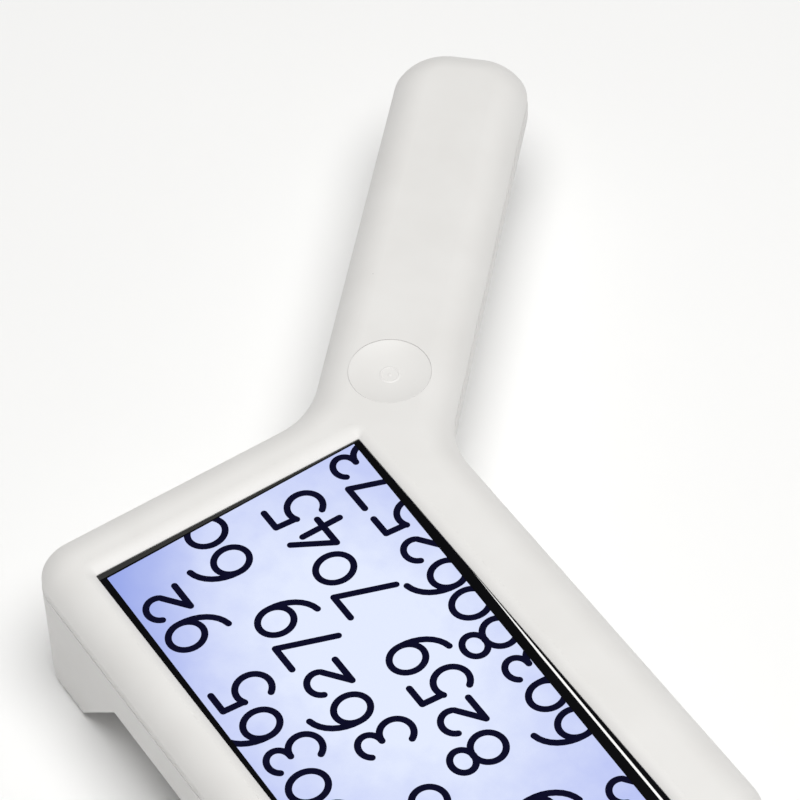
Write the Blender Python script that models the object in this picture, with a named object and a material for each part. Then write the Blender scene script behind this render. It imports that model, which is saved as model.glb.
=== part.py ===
"""Hand-held electronic magnifier for low vision: a display head on two feet, with a slanted handle.

The design frame has its origin in the middle of the display opening, on the top face of the cover.
+X runs along the display towards the handle end, +Y up the displayed page, +Z out of the display.
The last step moves everything so that the origin lies under the middle of the overall box,
on the surface that the feet stand on. Every length is in metres.
"""
import math

import bmesh
import bpy
from mathutils import Matrix, Vector

MM = 0.001
GAP = 0.3 * MM                       # play between neighbouring pieces
OVER = 1.0 * MM                      # how far a cutter or a post reaches into or past its neighbour
WELD = 0.001 * MM                    # points closer than this are one point after a Boolean
ARC_STEP = math.radians(15.0)        # facet angle along arcs in plan
SMOOTH_ANGLE = math.radians(40.0)    # edges sharper than this stay crisp
POST_SIDES = 8
SMALL_SIDES = 12
ROUND_SIDES = 24
FINE_SIDES = 32

# Display and head, in plan
OPENING = (118.5 * MM, 68.2 * MM)    # window in the cover, along X and Y
BEZEL_NEAR = 14.7 * MM               # opening to outer wall, at the handle end
BEZEL_FAR = 13.8 * MM                # opening to outer wall, at the other end
BEZEL_TOP = 10.0 * MM                # opening to outer wall, on the +Y side
BEZEL_BOTTOM = 17.9 * MM             # opening to outer wall, on the -Y side
HEAD_CORNER = 10.0 * MM              # plan radius of the head's corners

# Handle, measured from a point by the opening's corner, along its own axis (u) and across it (w)
HANDLE_ROOT_INSET = 15.7 * MM        # outer wall at the handle end to that point
HANDLE_ANGLE = math.radians(-44.0)
HANDLE_SHIFT = -2.4 * MM             # centreline's offset from that point, along w
HANDLE_WIDTH = 32.4 * MM
HANDLE_END = 126.7 * MM
HANDLE_CORNER = 12.5 * MM
FILLET_LOWER = 19.0 * MM             # handle to the head's -Y side
FILLET_UPPER = 20.0 * MM             # handle to the head's +X end

# Section through the case; heights are measured from the top face of the cover
EDGE_WIDTH = 8.5 * MM                # rounded shoulder of the cover, in plan
EDGE_DROP = 5.3 * MM
COVER_BOTTOM = -7.5 * MM
COVER_THICKNESS = 2.2 * MM
COVER_WALL = 2.2 * MM
INNER_SHOULDER = [                   # inset and height of the cover's inner face
    (COVER_WALL, -6.0 * MM),
    (3.2 * MM, -3.8 * MM),
    (5.6 * MM, -2.5 * MM),
    (EDGE_WIDTH, -COVER_THICKNESS),
]
SEAM = 0.6 * MM                      # shadow gap between the cover and the housing
HOUSING_STEP = 0.4 * MM              # the housing's wall stands in from the cover's lip
HOUSING_TOP = COVER_BOTTOM - SEAM
HOUSING_BOTTOM = -20.0 * MM
HEAD_EDGE_RADIUS = 2.2 * MM          # rounding of the head's lower edge
HEAD_HOLLOW_INSET = 3.9 * MM         # outer wall to the head's deep hollow
GRIP_BOTTOM = -18.5 * MM
GRIP_RADIUS = 8.0 * MM               # rounding of the handle's lower edge
GRIP_WALL = 2.8 * MM                 # thicker than elsewhere, because of the rounding outside
WALL = 2.0 * MM
INNER_FLOOR = HOUSING_BOTTOM + WALL
GRIP_INNER_FLOOR = GRIP_BOTTOM + 4.0 * MM
TONGUE_OUT = COVER_WALL + GAP        # tongue of the housing inside the cover's lip
TONGUE_IN = TONGUE_OUT + 1.2 * MM
TONGUE_TOP = -6.3 * MM
TONGUE_ROOT = -9.8 * MM
TONGUE_RAMP = 0.6 * MM               # height over which the wall thins to the tongue

# Feet
FOOT_BOTTOM = -38.0 * MM
FOOT_RADIUS = 1.5 * MM
FOOT_FLAT = 19.3 * MM                # outer wall to the end of the foot's flat underside
FOOT_SLOPE_RUN = 15.6 * MM           # plan length of the slope from there up to the underside
FOOT_TOP = -16.0 * MM                # the feet's solid ends inside the head
FOOT_FLOOR = FOOT_BOTTOM + 2.4 * MM
FOOT_SLOPE_WALL = 2.8 * MM
PAD_RADIUS = 5.0 * MM
PAD_STAND = 0.6 * MM                 # how far the rubber pads stand below the feet
PAD_SEAT = FOOT_BOTTOM + 0.7 * MM
PAD_CHAMFER = 0.5 * MM

# Dish around the display opening
DISH_DEPTH = 0.9 * MM
DISH_END = 4.0 * MM                  # width along X
DISH_SIDE = 2.8 * MM                 # width along Y
DISH_CORNER = 3.5 * MM
CHAMFER_WIDTH = 0.25 * MM
CHAMFER_CORNER = 0.65 * MM
CHAMFER_BOTTOM = -1.15 * MM
WINDOW_CORNER = 0.4 * MM

# Case screws
SCREW_SHANK = 1.0 * MM
SCREW_HEAD = 1.9 * MM
SCREW_HEAD_HEIGHT = 1.4 * MM
SCREW_CHAMFER = 0.5 * MM
SCREW_PLAY = 0.5 * MM
SCREW_TIP = 0.8 * MM
SCREW_REACH = 5.6 * MM               # seat to the end of the plain shank
SEAT = -13.0 * MM                    # underside of the wall that the screw heads pull on
BOSS = 2.8 * MM
COLUMN = 3.9 * MM
GRIP_COLUMN = 3.4 * MM
SPLIT = -9.7 * MM                    # the cover's bosses end here
PILOT_TOP = -3.4 * MM                # blind end of the holes in the bosses
SCREW_INSET = 7.7 * MM               # outer wall to the screws in the feet
HANDLE_FOOT_INSET = 28.5 * MM        # -Y wall to the foot screw beside the handle
FLOOR_SCREW_X = 26.0 * MM
FLOOR_SCREW_INSET = 8.2 * MM
ROOT_SCREW_U = 42.0 * MM
TIP_SCREW_U = HANDLE_END - 7.4 * MM

# Button and switch
BUTTON_U = 20.8 * MM                 # place along the handle
BUTTON_RADIUS = 9.2 * MM
BUTTON_TRAVEL = 0.8 * MM
BUTTON_DISH = -1.3 * MM             # middle of the finger dish in the button's top
BUTTON_RIM = -0.05 * MM
BUTTON_FLANGE = BUTTON_RADIUS + 1.3 * MM
FLANGE_BOTTOM = -3.5 * MM
BUTTON_STEM = 2.0 * MM
STEM_BOTTOM = -5.0 * MM
PLUNGER_RADIUS = 1.8 * MM
PLUNGER_BOTTOM = -8.3 * MM
BORE_FLOOR = PLUNGER_BOTTOM - BUTTON_TRAVEL - 0.5 * MM
SWITCH_HALF = 6.0 * MM
SWITCH_TOP = -6.6 * MM
SWITCH_BOTTOM = -10.1 * MM
SWITCH_BOARD_TOP = SWITCH_BOTTOM - GAP
SWITCH_BOARD_BOTTOM = SWITCH_BOARD_TOP - 1.0 * MM
SWITCH_BOARD_HALF = (11.0 * MM, 9.5 * MM)
SWITCH_POST_W = 6.5 * MM
SWITCH_POST = 1.6 * MM

# Battery cover, battery and contacts
DOOR_START = 52.0 * MM               # battery cover's inner end, along the handle
DOOR_THICKNESS = 2.2 * MM
LATCH_WIDTH = 18.0 * MM
LATCH_REACH = 3.5 * MM
LATCH_LEVELS = (1.0 * MM, 1.9 * MM)  # underside and top, above the handle's underside
LATCH_ROOT = 2.0 * MM
RIDGES = 5
RIDGE_START = 8.0 * MM
RIDGE_PITCH = 2.4 * MM
RIDGE_WIDTH = 1.0 * MM
RIDGE_HALF = 6.0 * MM
RIDGE_HEIGHT = 0.45 * MM
BAY_START = 56.0 * MM
BAY_END = TIP_SCREW_U - 3.8 * MM
BAY_WIDTH = 24.0 * MM
BAY_TOP = 6.0 * MM
PACK_LOW = DOOR_THICKNESS + 0.8 * MM
PACK_HIGH = PACK_LOW + 8.4 * MM
PACK_START = BAY_START + 0.5 * MM
PACK_END = BAY_END - 0.5 * MM
PACK_CORNER = 1.5 * MM
CONTACT_ROOM = 4.0 * MM              # from the contact block to the pack
CONTACT_W = 5.0 * MM
CONTACT_HALF = 1.5 * MM
BLOCK_LENGTH = 4.0 * MM
BLOCK_HALF = 9.0 * MM
BLOCK_LOW = PACK_LOW + 1.4 * MM
LEAF_THICKNESS = 0.3 * MM

# Camera and lights, in the floor of the head
CAMERA_HOLE = 6.0 * MM
CAMERA_SEAT = 8.5 * MM
SEAT_LEVEL = HOUSING_BOTTOM + 0.8 * MM
WINDOW_THICKNESS = 0.6 * MM
SENSOR_HALF = 3.5 * MM
SENSOR_THICKNESS = 0.8 * MM
HOLDER_HALF = 7.5 * MM
HOLDER_HEIGHT = 3.8 * MM
HOLDER_BORE = 5.3 * MM
BARREL_RADIUS = 5.0 * MM
BARREL_BORE = 3.2 * MM
BARREL_BOTTOM = -17.3 * MM
LENS_RADIUS = 2.9 * MM
LENS_HEIGHT = 2.0 * MM
LIGHT_X = 27.0 * MM
LIGHT_SLOT = (5.6 * MM, 40.0 * MM)
LIGHT_SEAT = (8.6 * MM, 43.0 * MM)
LIGHT_CORNER = 1.0 * MM
DIFFUSER_THICKNESS = 0.8 * MM
LIGHT_POST_Y = 23.2 * MM
LIGHT_POST = 1.1 * MM
LIGHT_BOARD_BOTTOM = -14.6 * MM
LIGHT_BOARD_HALF = (4.0 * MM, 24.5 * MM)
LAMP_PITCH = 14.0 * MM
LAMP_HALF = 2.5 * MM
LAMP_HEIGHT = 1.5 * MM

# Main board and what it carries on its underside
BOARD_X = (-50.5 * MM, 68.7 * MM)
BOARD_Y = (-16.0 * MM, 28.0 * MM)
BOARD_TOP = -9.5 * MM
BOARD_BOTTOM = BOARD_TOP - 1.6 * MM
BOARD_UNDER = BOARD_BOTTOM - GAP
BOARD_SCREWS = [(x, y) for x in (-17.5 * MM, 17.5 * MM) for y in (-12.0 * MM, 24.0 * MM)]
BOARD_SCREW = 0.8 * MM
BOARD_SCREW_HEAD = 1.6 * MM
BOARD_SCREW_HEAD_HEIGHT = 0.6 * MM
BOARD_SCREW_LENGTH = 6.0 * MM
BOARD_POST = 2.8 * MM
SHIELD_X = (-9.0 * MM, 9.0 * MM)
SHIELD_Y = (11.0 * MM, 25.0 * MM)
SHIELD_HEIGHT = 2.2 * MM
SOCKET_Y = 6.0 * MM
SOCKET_WIDTH = 8.0 * MM
SOCKET_HEIGHT = 3.0 * MM
SOCKET_DEPTH = 8.2 * MM
SOCKET_MOUTH = 5.5 * MM
SOCKET_WALL = 0.5 * MM
POWER_X = (48.5 * MM, 56.5 * MM)
POWER_Y = (BOARD_Y[0] + 8.0 * MM, BOARD_Y[0] + 13.0 * MM)
POWER_HEIGHT = 3.4 * MM

# Display module
GASKET_OUTER = (122.6 * MM, 74.0 * MM)
GASKET_INNER = (119.3 * MM, 69.0 * MM)
GASKET_TOP = -COVER_THICKNESS - 0.5 * MM
GASKET_BOTTOM = GASKET_TOP - 0.5 * MM
FRAME_SIZE = (124.2 * MM, 75.8 * MM)
FRAME_TOP = GASKET_BOTTOM - GAP
FRAME_BOTTOM = -7.2 * MM
FRAME_WALL = 0.8 * MM
FRAME_LIP = FRAME_TOP - 0.5 * MM
GLASS_SIZE = (117.0 * MM, 66.8 * MM)
GLASS_TOP = -1.3 * MM
PANEL_BOTTOM = FRAME_LIP - GAP - 1.1 * MM
PLATE_THICKNESS = 0.5 * MM

# Cables
CABLE_THICKNESS = 0.25 * MM
DISPLAY_CABLE_WIDTH = 18.0 * MM
CONNECTOR_Y = BOARD_Y[0] + 2.0 * MM
CONNECTOR_DEPTH = 3.5 * MM
CONNECTOR_HEIGHT = 1.6 * MM
CABLE_BEND_Y = BOARD_Y[0] - 3.2 * MM
BUTTON_CABLE_HALF = 2.0 * MM
BUTTON_CABLE_SAG = 0.8 * MM
BUTTON_CABLE_INSET = 4.0 * MM
LEAD_RADIUS = 0.6 * MM
LEAD_W = 5.6 * MM
LEAD_PITCH = 1.8 * MM                # half the distance between the leads in the power connector
LEAD_ROUTE = [                       # along the handle, across it, and height
    (38.0 * MM, LEAD_W, -12.9 * MM),
    (28.0 * MM, 0.3 * LEAD_W, -13.4 * MM),
    (12.0 * MM, 0.3 * LEAD_W, -13.8 * MM),
]
LEAD_APPROACH = Vector((0.0, 8.0 * MM, 0.6 * MM))

# Directions and walls that follow from the dimensions
AXIS_U = Vector((math.cos(HANDLE_ANGLE), math.sin(HANDLE_ANGLE)))
AXIS_W = Vector((-AXIS_U.y, AXIS_U.x))
X_END = OPENING[0] / 2 + BEZEL_NEAR
X_FAR = -OPENING[0] / 2 - BEZEL_FAR
Y_TOP = OPENING[1] / 2 + BEZEL_TOP
Y_BOTTOM = -OPENING[1] / 2 - BEZEL_BOTTOM
HANDLE_ROOT = Vector((X_END - HANDLE_ROOT_INSET, -OPENING[1] / 2))


# ---------------------------------------------------------------- materials

def make_material(name, colour, roughness, metallic=0.0, transmission=0.0, glow=0.0):
    material = bpy.data.materials.new(name)
    material.use_nodes = True
    shader = material.node_tree.nodes["Principled BSDF"]
    shader.inputs["Base Color"].default_value = (*colour, 1.0)
    shader.inputs["Roughness"].default_value = roughness
    shader.inputs["Metallic"].default_value = metallic
    shader.inputs["Transmission Weight"].default_value = transmission
    if glow:
        shader.inputs["Emission Color"].default_value = (*colour, 1.0)
        shader.inputs["Emission Strength"].default_value = glow
    material.diffuse_color = (*colour, 1.0)
    return material


def make_materials():
    return {
        "case": make_material("case", (0.80, 0.79, 0.77), 0.42),
        "display": make_material("display", (0.78, 0.84, 1.0), 0.25, glow=0.8),
        "black": make_material("black", (0.01, 0.01, 0.01), 0.6),
        "steel": make_material("steel", (0.62, 0.62, 0.60), 0.3, metallic=1.0),
        "board": make_material("board", (0.02, 0.16, 0.07), 0.45),
        "chip": make_material("chip", (0.03, 0.03, 0.035), 0.4),
        "clear": make_material("clear", (0.9, 0.95, 1.0), 0.05, transmission=0.9),
        "white": make_material("white", (0.85, 0.85, 0.80), 0.5),
        "cable": make_material("cable", (0.75, 0.73, 0.66), 0.5),
        "red": make_material("red", (0.6, 0.03, 0.02), 0.45),
        "battery": make_material("battery", (0.08, 0.10, 0.14), 0.5),
        "gold": make_material("gold", (0.9, 0.62, 0.22), 0.25, metallic=1.0),
        "rubber": make_material("rubber", (0.05, 0.05, 0.05), 0.8),
    }


# ---------------------------------------------------------------- plan geometry

def on_handle(u, w=0.0):
    """Plan position of a point on the handle: u along its axis, w to the side of its centreline."""
    return HANDLE_ROOT + AXIS_U * u + AXIS_W * (HANDLE_SHIFT + w)


def line_hit(point_a, dir_a, point_b, dir_b):
    """Where two plan lines cross."""
    span = point_b - point_a
    across = dir_a.x * dir_b.y - dir_a.y * dir_b.x
    return point_a + dir_a * ((span.x * dir_b.y - span.y * dir_b.x) / across)


def rounded_loop(corners, inset):
    """Counter-clockwise outline through corners (position, radius), moved inwards by inset.

    Rounded outer corners get tighter and rounded inner corners get wider by the inset,
    so loops of different insets have the same number of points and can be lofted.
    """
    count = len(corners)
    points = [Vector(corner) for corner, radius in corners]
    edges = [(points[(i + 1) % count] - points[i]).normalized() for i in range(count)]
    moved = [points[i] + Vector((-edges[i].y, edges[i].x)) * inset for i in range(count)]
    loop = []
    for i in range(count):
        before = edges[i - 1]
        after = edges[i]
        corner = line_hit(moved[i - 1], before, moved[i], after)
        turn = math.atan2(before.x * after.y - before.y * after.x, before.dot(after))
        radius = corners[i][1] - inset if turn > 0 else corners[i][1] + inset
        side = 1.0 if turn > 0 else -1.0
        start = corner - before * (radius * math.tan(abs(turn) / 2))
        centre = start + Vector((-before.y, before.x)) * (radius * side)
        steps = max(3, round(abs(turn) / ARC_STEP))
        spoke = start - centre
        for k in range(steps + 1):
            angle = turn * k / steps
            loop.append(centre + Matrix.Rotation(angle, 2) @ spoke)
    return loop


def case_loop(inset):
    """Outline of the head and handle together."""
    along = Vector((1.0, 0.0))
    lower = line_hit(Vector((0.0, Y_BOTTOM)), along, on_handle(0.0, -HANDLE_WIDTH / 2), AXIS_U)
    upper = line_hit(Vector((X_END, 0.0)), Vector((0.0, 1.0)), on_handle(0.0, HANDLE_WIDTH / 2), AXIS_U)
    corners = [
        ((X_END, Y_TOP), HEAD_CORNER),
        ((X_FAR, Y_TOP), HEAD_CORNER),
        ((X_FAR, Y_BOTTOM), HEAD_CORNER),
        (lower, FILLET_LOWER),
        (on_handle(HANDLE_END, -HANDLE_WIDTH / 2), HANDLE_CORNER),
        (on_handle(HANDLE_END, HANDLE_WIDTH / 2), HANDLE_CORNER),
        (upper, FILLET_UPPER),
    ]
    return rounded_loop(corners, inset)


def head_loop(inset):
    """Outline of the head alone, without the handle."""
    corners = [
        ((X_END, Y_TOP), HEAD_CORNER),
        ((X_FAR, Y_TOP), HEAD_CORNER),
        ((X_FAR, Y_BOTTOM), HEAD_CORNER),
        ((X_END, Y_BOTTOM), HEAD_CORNER),
    ]
    return rounded_loop(corners, inset)


def rectangle_loop(size_x, size_y, radius, centre=(0.0, 0.0)):
    """Rounded rectangle about a centre."""
    x = size_x / 2
    y = size_y / 2
    corners = [((x, y), radius), ((-x, y), radius), ((-x, -y), radius), ((x, -y), radius)]
    return [point + Vector(centre) for point in rounded_loop(corners, 0.0)]


# ---------------------------------------------------------------- solids

def mesh_object(name, bm):
    """Make an object from a bmesh, with its faces pointing outwards."""
    bmesh.ops.recalc_face_normals(bm, faces=bm.faces)
    mesh = bpy.data.meshes.new(name)
    bm.to_mesh(mesh)
    bm.free()
    obj = bpy.data.objects.new(name, mesh)
    bpy.context.collection.objects.link(obj)
    return obj


def close_rows(bm, rows):
    """Join rows of the same number of points into a closed skin, capped at both ends."""
    for low, high in zip(rows, rows[1:]):
        for k in range(len(low)):
            after = (k + 1) % len(low)
            bm.faces.new((low[k], low[after], high[after], high[k]))
    bm.faces.new(list(reversed(rows[0])))
    bm.faces.new(rows[-1])


def loft(name, rings):
    """Closed solid through rings of (plan loop, height), capped at both ends."""
    bm = bmesh.new()
    rows = [[bm.verts.new((point.x, point.y, z)) for point in loop] for loop, z in rings]
    close_rows(bm, rows)
    return mesh_object(name, bm)


def block(name, low, high, frame=None):
    """Box between two corners, optionally in another frame."""
    bm = bmesh.new()
    bmesh.ops.create_cube(bm, size=1.0)
    for vert in bm.verts:
        for axis in range(3):
            middle = (low[axis] + high[axis]) / 2
            vert.co[axis] = middle + vert.co[axis] * (high[axis] - low[axis])
    if frame is not None:
        bmesh.ops.transform(bm, matrix=frame, verts=bm.verts)
    return mesh_object(name, bm)


def turned(name, profile, centre, sides=ROUND_SIDES):
    """Solid of revolution about a vertical axis: profile is (radius, height) from bottom to top.

    A profile whose ends lie on the axis gives a plain solid; otherwise it closes into a tube.
    """
    bm = bmesh.new()
    solid = profile[0][0] == 0.0
    rows = []
    for radius, z in profile:
        if radius == 0.0:
            rows.append([bm.verts.new((centre[0], centre[1], z))])
            continue
        ring = []
        for k in range(sides):
            angle = 2 * math.pi * k / sides
            ring.append(bm.verts.new((centre[0] + radius * math.cos(angle),
                                      centre[1] + radius * math.sin(angle), z)))
        rows.append(ring)
    pairs = list(zip(rows, rows[1:]))
    if not solid:
        pairs.append((rows[-1], rows[0]))
    for low, high in pairs:
        for k in range(sides):
            after = (k + 1) % sides
            face = [low[k % len(low)], low[after % len(low)], high[after % len(high)], high[k % len(high)]]
            bm.faces.new(list(dict.fromkeys(face)))
    return mesh_object(name, bm)


def peg(name, centre, radius, bottom, top, sides=ROUND_SIDES):
    """Plain vertical cylinder."""
    return turned(name, [(0.0, bottom), (radius, bottom), (radius, top), (0.0, top)], centre, sides)


def side_prism(name, profile, y_low, y_high):
    """Solid with a profile of (x, z) points, running along Y."""
    bm = bmesh.new()
    rows = [[bm.verts.new((x, y, z)) for x, z in profile] for y in (y_low, y_high)]
    close_rows(bm, rows)
    return mesh_object(name, bm)


def merge(parts):
    """Join separate tools that don't touch, so that one Boolean does the work of many."""
    bm = bmesh.new()
    for part in parts:
        bm.from_mesh(part.data)
        bpy.data.objects.remove(part)
    mesh = bpy.data.meshes.new("tools")
    bm.to_mesh(mesh)
    bm.free()
    tools = bpy.data.objects.new("tools", mesh)
    bpy.context.collection.objects.link(tools)
    return tools


def combine(target, tool, operation):
    """Apply one Boolean to target and delete the tool."""
    modifier = target.modifiers.new(operation, "BOOLEAN")
    modifier.operation = operation
    modifier.object = tool
    graph = bpy.context.evaluated_depsgraph_get()
    graph.update()
    result = bpy.data.meshes.new_from_object(target.evaluated_get(graph))
    target.modifiers.remove(modifier)
    bm = bmesh.new()
    bm.from_mesh(result)
    bmesh.ops.remove_doubles(bm, verts=bm.verts, dist=WELD)
    bmesh.ops.dissolve_degenerate(bm, edges=bm.edges, dist=WELD)
    bm.to_mesh(result)
    bm.free()
    old = target.data
    target.data = result
    bpy.data.meshes.remove(old)
    bpy.data.objects.remove(tool)
    return target


def cut(target, tool):
    return combine(target, tool, "DIFFERENCE")


def add(target, tool):
    return combine(target, tool, "UNION")


def keep(target, tool):
    return combine(target, tool, "INTERSECT")


def finish(obj, name, material, origin=None, smooth=False):
    """Name a piece, give it its material and put its origin where it belongs."""
    obj.name = name
    obj.data.name = name
    obj.data.materials.clear()
    obj.data.materials.append(material)
    if origin is not None:
        obj.data.transform(Matrix.Translation(-Vector(origin)))
        obj.location = origin
    if smooth:
        obj.data.shade_smooth()
        obj.data.set_sharp_from_angle(angle=SMOOTH_ANGLE)
    return obj


def grip_frame(height=0.0):
    """Frame with its X along the handle and its Z up, at the handle's root on its centreline."""
    base = on_handle(0.0)
    turn = Matrix.Rotation(HANDLE_ANGLE, 4, "Z")
    return Matrix.Translation((base.x, base.y, height)) @ turn


# ---------------------------------------------------------------- screws

def case_screws():
    """Plan positions of the screws in the feet, in the floor by the -Y wall, and in the handle."""
    in_feet = [
        (X_END - SCREW_INSET, Y_TOP - SCREW_INSET),
        (X_FAR + SCREW_INSET, Y_TOP - SCREW_INSET),
        (X_FAR + SCREW_INSET, Y_BOTTOM + SCREW_INSET),
        (X_END - SCREW_INSET, Y_BOTTOM + HANDLE_FOOT_INSET),
    ]
    in_floor = [(x, Y_BOTTOM + FLOOR_SCREW_INSET) for x in (FLOOR_SCREW_X, -FLOOR_SCREW_X)]
    in_handle = [tuple(on_handle(u)) for u in (ROOT_SCREW_U, TIP_SCREW_U)]
    return in_feet, in_floor, in_handle


FOOT_SCREWS, FLOOR_SCREWS, GRIP_SCREWS = case_screws()
CASE_SCREWS = [*FOOT_SCREWS, *FLOOR_SCREWS, *GRIP_SCREWS]


def make_case_screws(materials):
    seat = SEAT - GAP
    under = seat - SCREW_HEAD_HEIGHT
    profile = [
        (0.0, under),
        (SCREW_HEAD - SCREW_CHAMFER, under),
        (SCREW_HEAD, under + SCREW_CHAMFER),
        (SCREW_HEAD, seat),
        (SCREW_SHANK, seat),
        (SCREW_SHANK, seat + SCREW_REACH),
        (0.0, seat + SCREW_REACH + SCREW_TIP),
    ]
    for number, centre in enumerate(CASE_SCREWS, 1):
        screw = turned("screw", profile, centre, SMALL_SIDES)
        finish(screw, f"case_screw_{number}", materials["steel"], smooth=True)


# ---------------------------------------------------------------- front cover

def shoulder(inset):
    """Height of the cover's rounded shoulder at a distance in from its outer wall."""
    half_angle = math.atan2(EDGE_DROP, EDGE_WIDTH)
    radius = EDGE_WIDTH / math.sin(2 * half_angle)
    across = EDGE_WIDTH - inset
    return math.sqrt(radius * radius - across * across) - radius


def make_front_cover(materials):
    shoulder_steps = 5
    rings = [(case_loop(0.0), COVER_BOTTOM)]
    for k in range(shoulder_steps + 1):
        inset = EDGE_WIDTH * k / shoulder_steps
        rings.append((case_loop(inset), shoulder(inset)))
    cover = loft("front_cover", rings)

    hollow = [(case_loop(COVER_WALL), COVER_BOTTOM - OVER)]
    hollow += [(case_loop(inset), z) for inset, z in INNER_SHOULDER]
    cut(cover, loft("hollow", hollow))

    inner = -COVER_THICKNESS + GAP
    add(cover, merge([peg("boss", centre, BOSS, SPLIT, inner, SMALL_SIDES) for centre in CASE_SCREWS]))
    pilot = SCREW_SHANK + GAP
    cut(cover, merge([peg("pilot", centre, pilot, SPLIT - OVER, PILOT_TOP, SMALL_SIDES)
                      for centre in CASE_SCREWS]))

    wide = rectangle_loop(OPENING[0] + 2 * DISH_END, OPENING[1] + 2 * DISH_SIDE, DISH_CORNER)
    narrow = rectangle_loop(OPENING[0] + 2 * CHAMFER_WIDTH, OPENING[1] + 2 * CHAMFER_WIDTH, CHAMFER_CORNER)
    window = rectangle_loop(OPENING[0], OPENING[1], WINDOW_CORNER)
    rings = [
        (window, COVER_BOTTOM - OVER),
        (window, CHAMFER_BOTTOM),
        (narrow, -DISH_DEPTH),
        (wide, 0.0),
        (wide, OVER),
    ]
    cut(cover, loft("dish", rings))

    hole = BUTTON_RADIUS + GAP
    flange_room = BUTTON_FLANGE + GAP
    below = COVER_BOTTOM - OVER
    profile = [
        (0.0, below),
        (flange_room, below),
        (flange_room, -COVER_THICKNESS),
        (hole, -COVER_THICKNESS),
        (hole, OVER),
        (0.0, OVER),
    ]
    cut(cover, turned("button_hole", profile, on_handle(BUTTON_U), FINE_SIDES))
    finish(cover, "front_cover", materials["case"], smooth=True)


# ---------------------------------------------------------------- rear housing

def underside_rings(loop, inset, bottom, radius, steps):
    """Rings of a rounded bottom edge, lowest first."""
    rings = []
    for k in range(steps + 1):
        angle = math.pi / 2 * k / steps
        rings.append((loop(inset + radius * (1 - math.sin(angle))), bottom + radius * (1 - math.cos(angle))))
    return rings


def foot_slope(offset):
    """Profile (x, z) of the space between the feet, widened by offset, from below the feet upwards."""
    slope = FOOT_SLOPE_RUN / (HOUSING_BOTTOM - FOOT_BOTTOM)
    low = FOOT_BOTTOM - 2 * OVER
    high = FOOT_TOP + 4 * OVER
    low_run = FOOT_FLAT - offset - (FOOT_BOTTOM - low) * slope
    high_run = FOOT_FLAT - offset + (high - FOOT_BOTTOM) * slope
    return [
        (X_FAR + low_run, low),
        (X_END - low_run, low),
        (X_END - high_run, high),
        (X_FAR + high_run, high),
    ]


def lower_shell():
    """Outer form of the housing in the head and handle, without the feet."""
    rings = underside_rings(case_loop, HOUSING_STEP, GRIP_BOTTOM, GRIP_RADIUS, 5)
    rings.append((case_loop(HOUSING_STEP), HOUSING_TOP))
    rings.append((case_loop(TONGUE_OUT), HOUSING_TOP))
    rings.append((case_loop(TONGUE_OUT), TONGUE_TOP))
    shell = loft("lower_shell", rings)
    head = underside_rings(head_loop, HOUSING_STEP, HOUSING_BOTTOM, HEAD_EDGE_RADIUS, 3)
    head.append((head_loop(HOUSING_STEP), HOUSING_TOP - OVER))
    return add(shell, loft("head_slab", head))


def feet(name, inset, bottom, slope_offset, top):
    """Both feet as one tool: the head's outline, cut away where the page is read."""
    rings = underside_rings(head_loop, inset, bottom, FOOT_RADIUS, 2)
    rings.append((head_loop(inset), top))
    solid = loft(name, rings)
    past = 2 * OPENING[1]
    cut(solid, side_prism("page_space", foot_slope(slope_offset), -past, past))
    return solid


def door_zone(high, start):
    """Slab over the handle's underside, from a distance along the handle to past its tip."""
    return block("door_zone", (start, -HANDLE_WIDTH, -HANDLE_WIDTH),
                 (HANDLE_END + HANDLE_WIDTH, HANDLE_WIDTH, high), grip_frame(GRIP_BOTTOM))


def make_rear_housing(materials):
    housing = lower_shell()
    add(housing, feet("feet", HOUSING_STEP, FOOT_BOTTOM, 0.0, FOOT_TOP))

    inset = HOUSING_STEP + GRIP_WALL
    cut(housing, loft("hollow", [
        (case_loop(inset), GRIP_INNER_FLOOR),
        (case_loop(inset), TONGUE_ROOT),
        (case_loop(TONGUE_IN), TONGUE_ROOT + TONGUE_RAMP),
        (case_loop(TONGUE_IN), TONGUE_TOP + OVER),
    ]))
    head = head_loop(HEAD_HOLLOW_INSET)
    cut(housing, loft("head_hollow", [(head, INNER_FLOOR), (head, GRIP_INNER_FLOOR + OVER)]))
    cut(housing, feet("foot_hollow", HOUSING_STEP + WALL, FOOT_FLOOR, FOOT_SLOPE_WALL, INNER_FLOOR + OVER))

    add_columns(housing)
    cut_handle_bay(housing)
    cut_lights_and_camera(housing)
    cut_screw_holes(housing)
    finish(housing, "rear_housing", materials["case"], smooth=True)


def add_columns(housing):
    """Screw columns and the posts that the circuit boards stand on."""
    top = SPLIT - GAP
    foot_floor = FOOT_FLOOR - OVER
    floor = INNER_FLOOR - OVER
    grip_floor = GRIP_INNER_FLOOR - OVER
    board_level = BOARD_BOTTOM - GAP
    light_level = LIGHT_BOARD_BOTTOM - GAP
    switch_level = SWITCH_BOARD_BOTTOM - GAP
    columns = [peg("column", centre, COLUMN, foot_floor, top, SMALL_SIDES) for centre in FOOT_SCREWS]
    columns += [peg("column", centre, COLUMN, floor, top, SMALL_SIDES) for centre in FLOOR_SCREWS]
    columns += [peg("column", centre, GRIP_COLUMN, grip_floor, top, SMALL_SIDES) for centre in GRIP_SCREWS]
    columns += [peg("post", centre, BOARD_POST, floor, board_level, SMALL_SIDES) for centre in BOARD_SCREWS]
    for x in (-LIGHT_X, LIGHT_X):
        for y in (-LIGHT_POST_Y, LIGHT_POST_Y):
            columns.append(peg("post", (x, y), LIGHT_POST, floor, light_level, POST_SIDES))
    for w in (-SWITCH_POST_W, SWITCH_POST_W):
        place = on_handle(BUTTON_U, w)
        columns.append(peg("post", place, SWITCH_POST, grip_floor, switch_level, POST_SIDES))
    add(housing, merge(columns))


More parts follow.
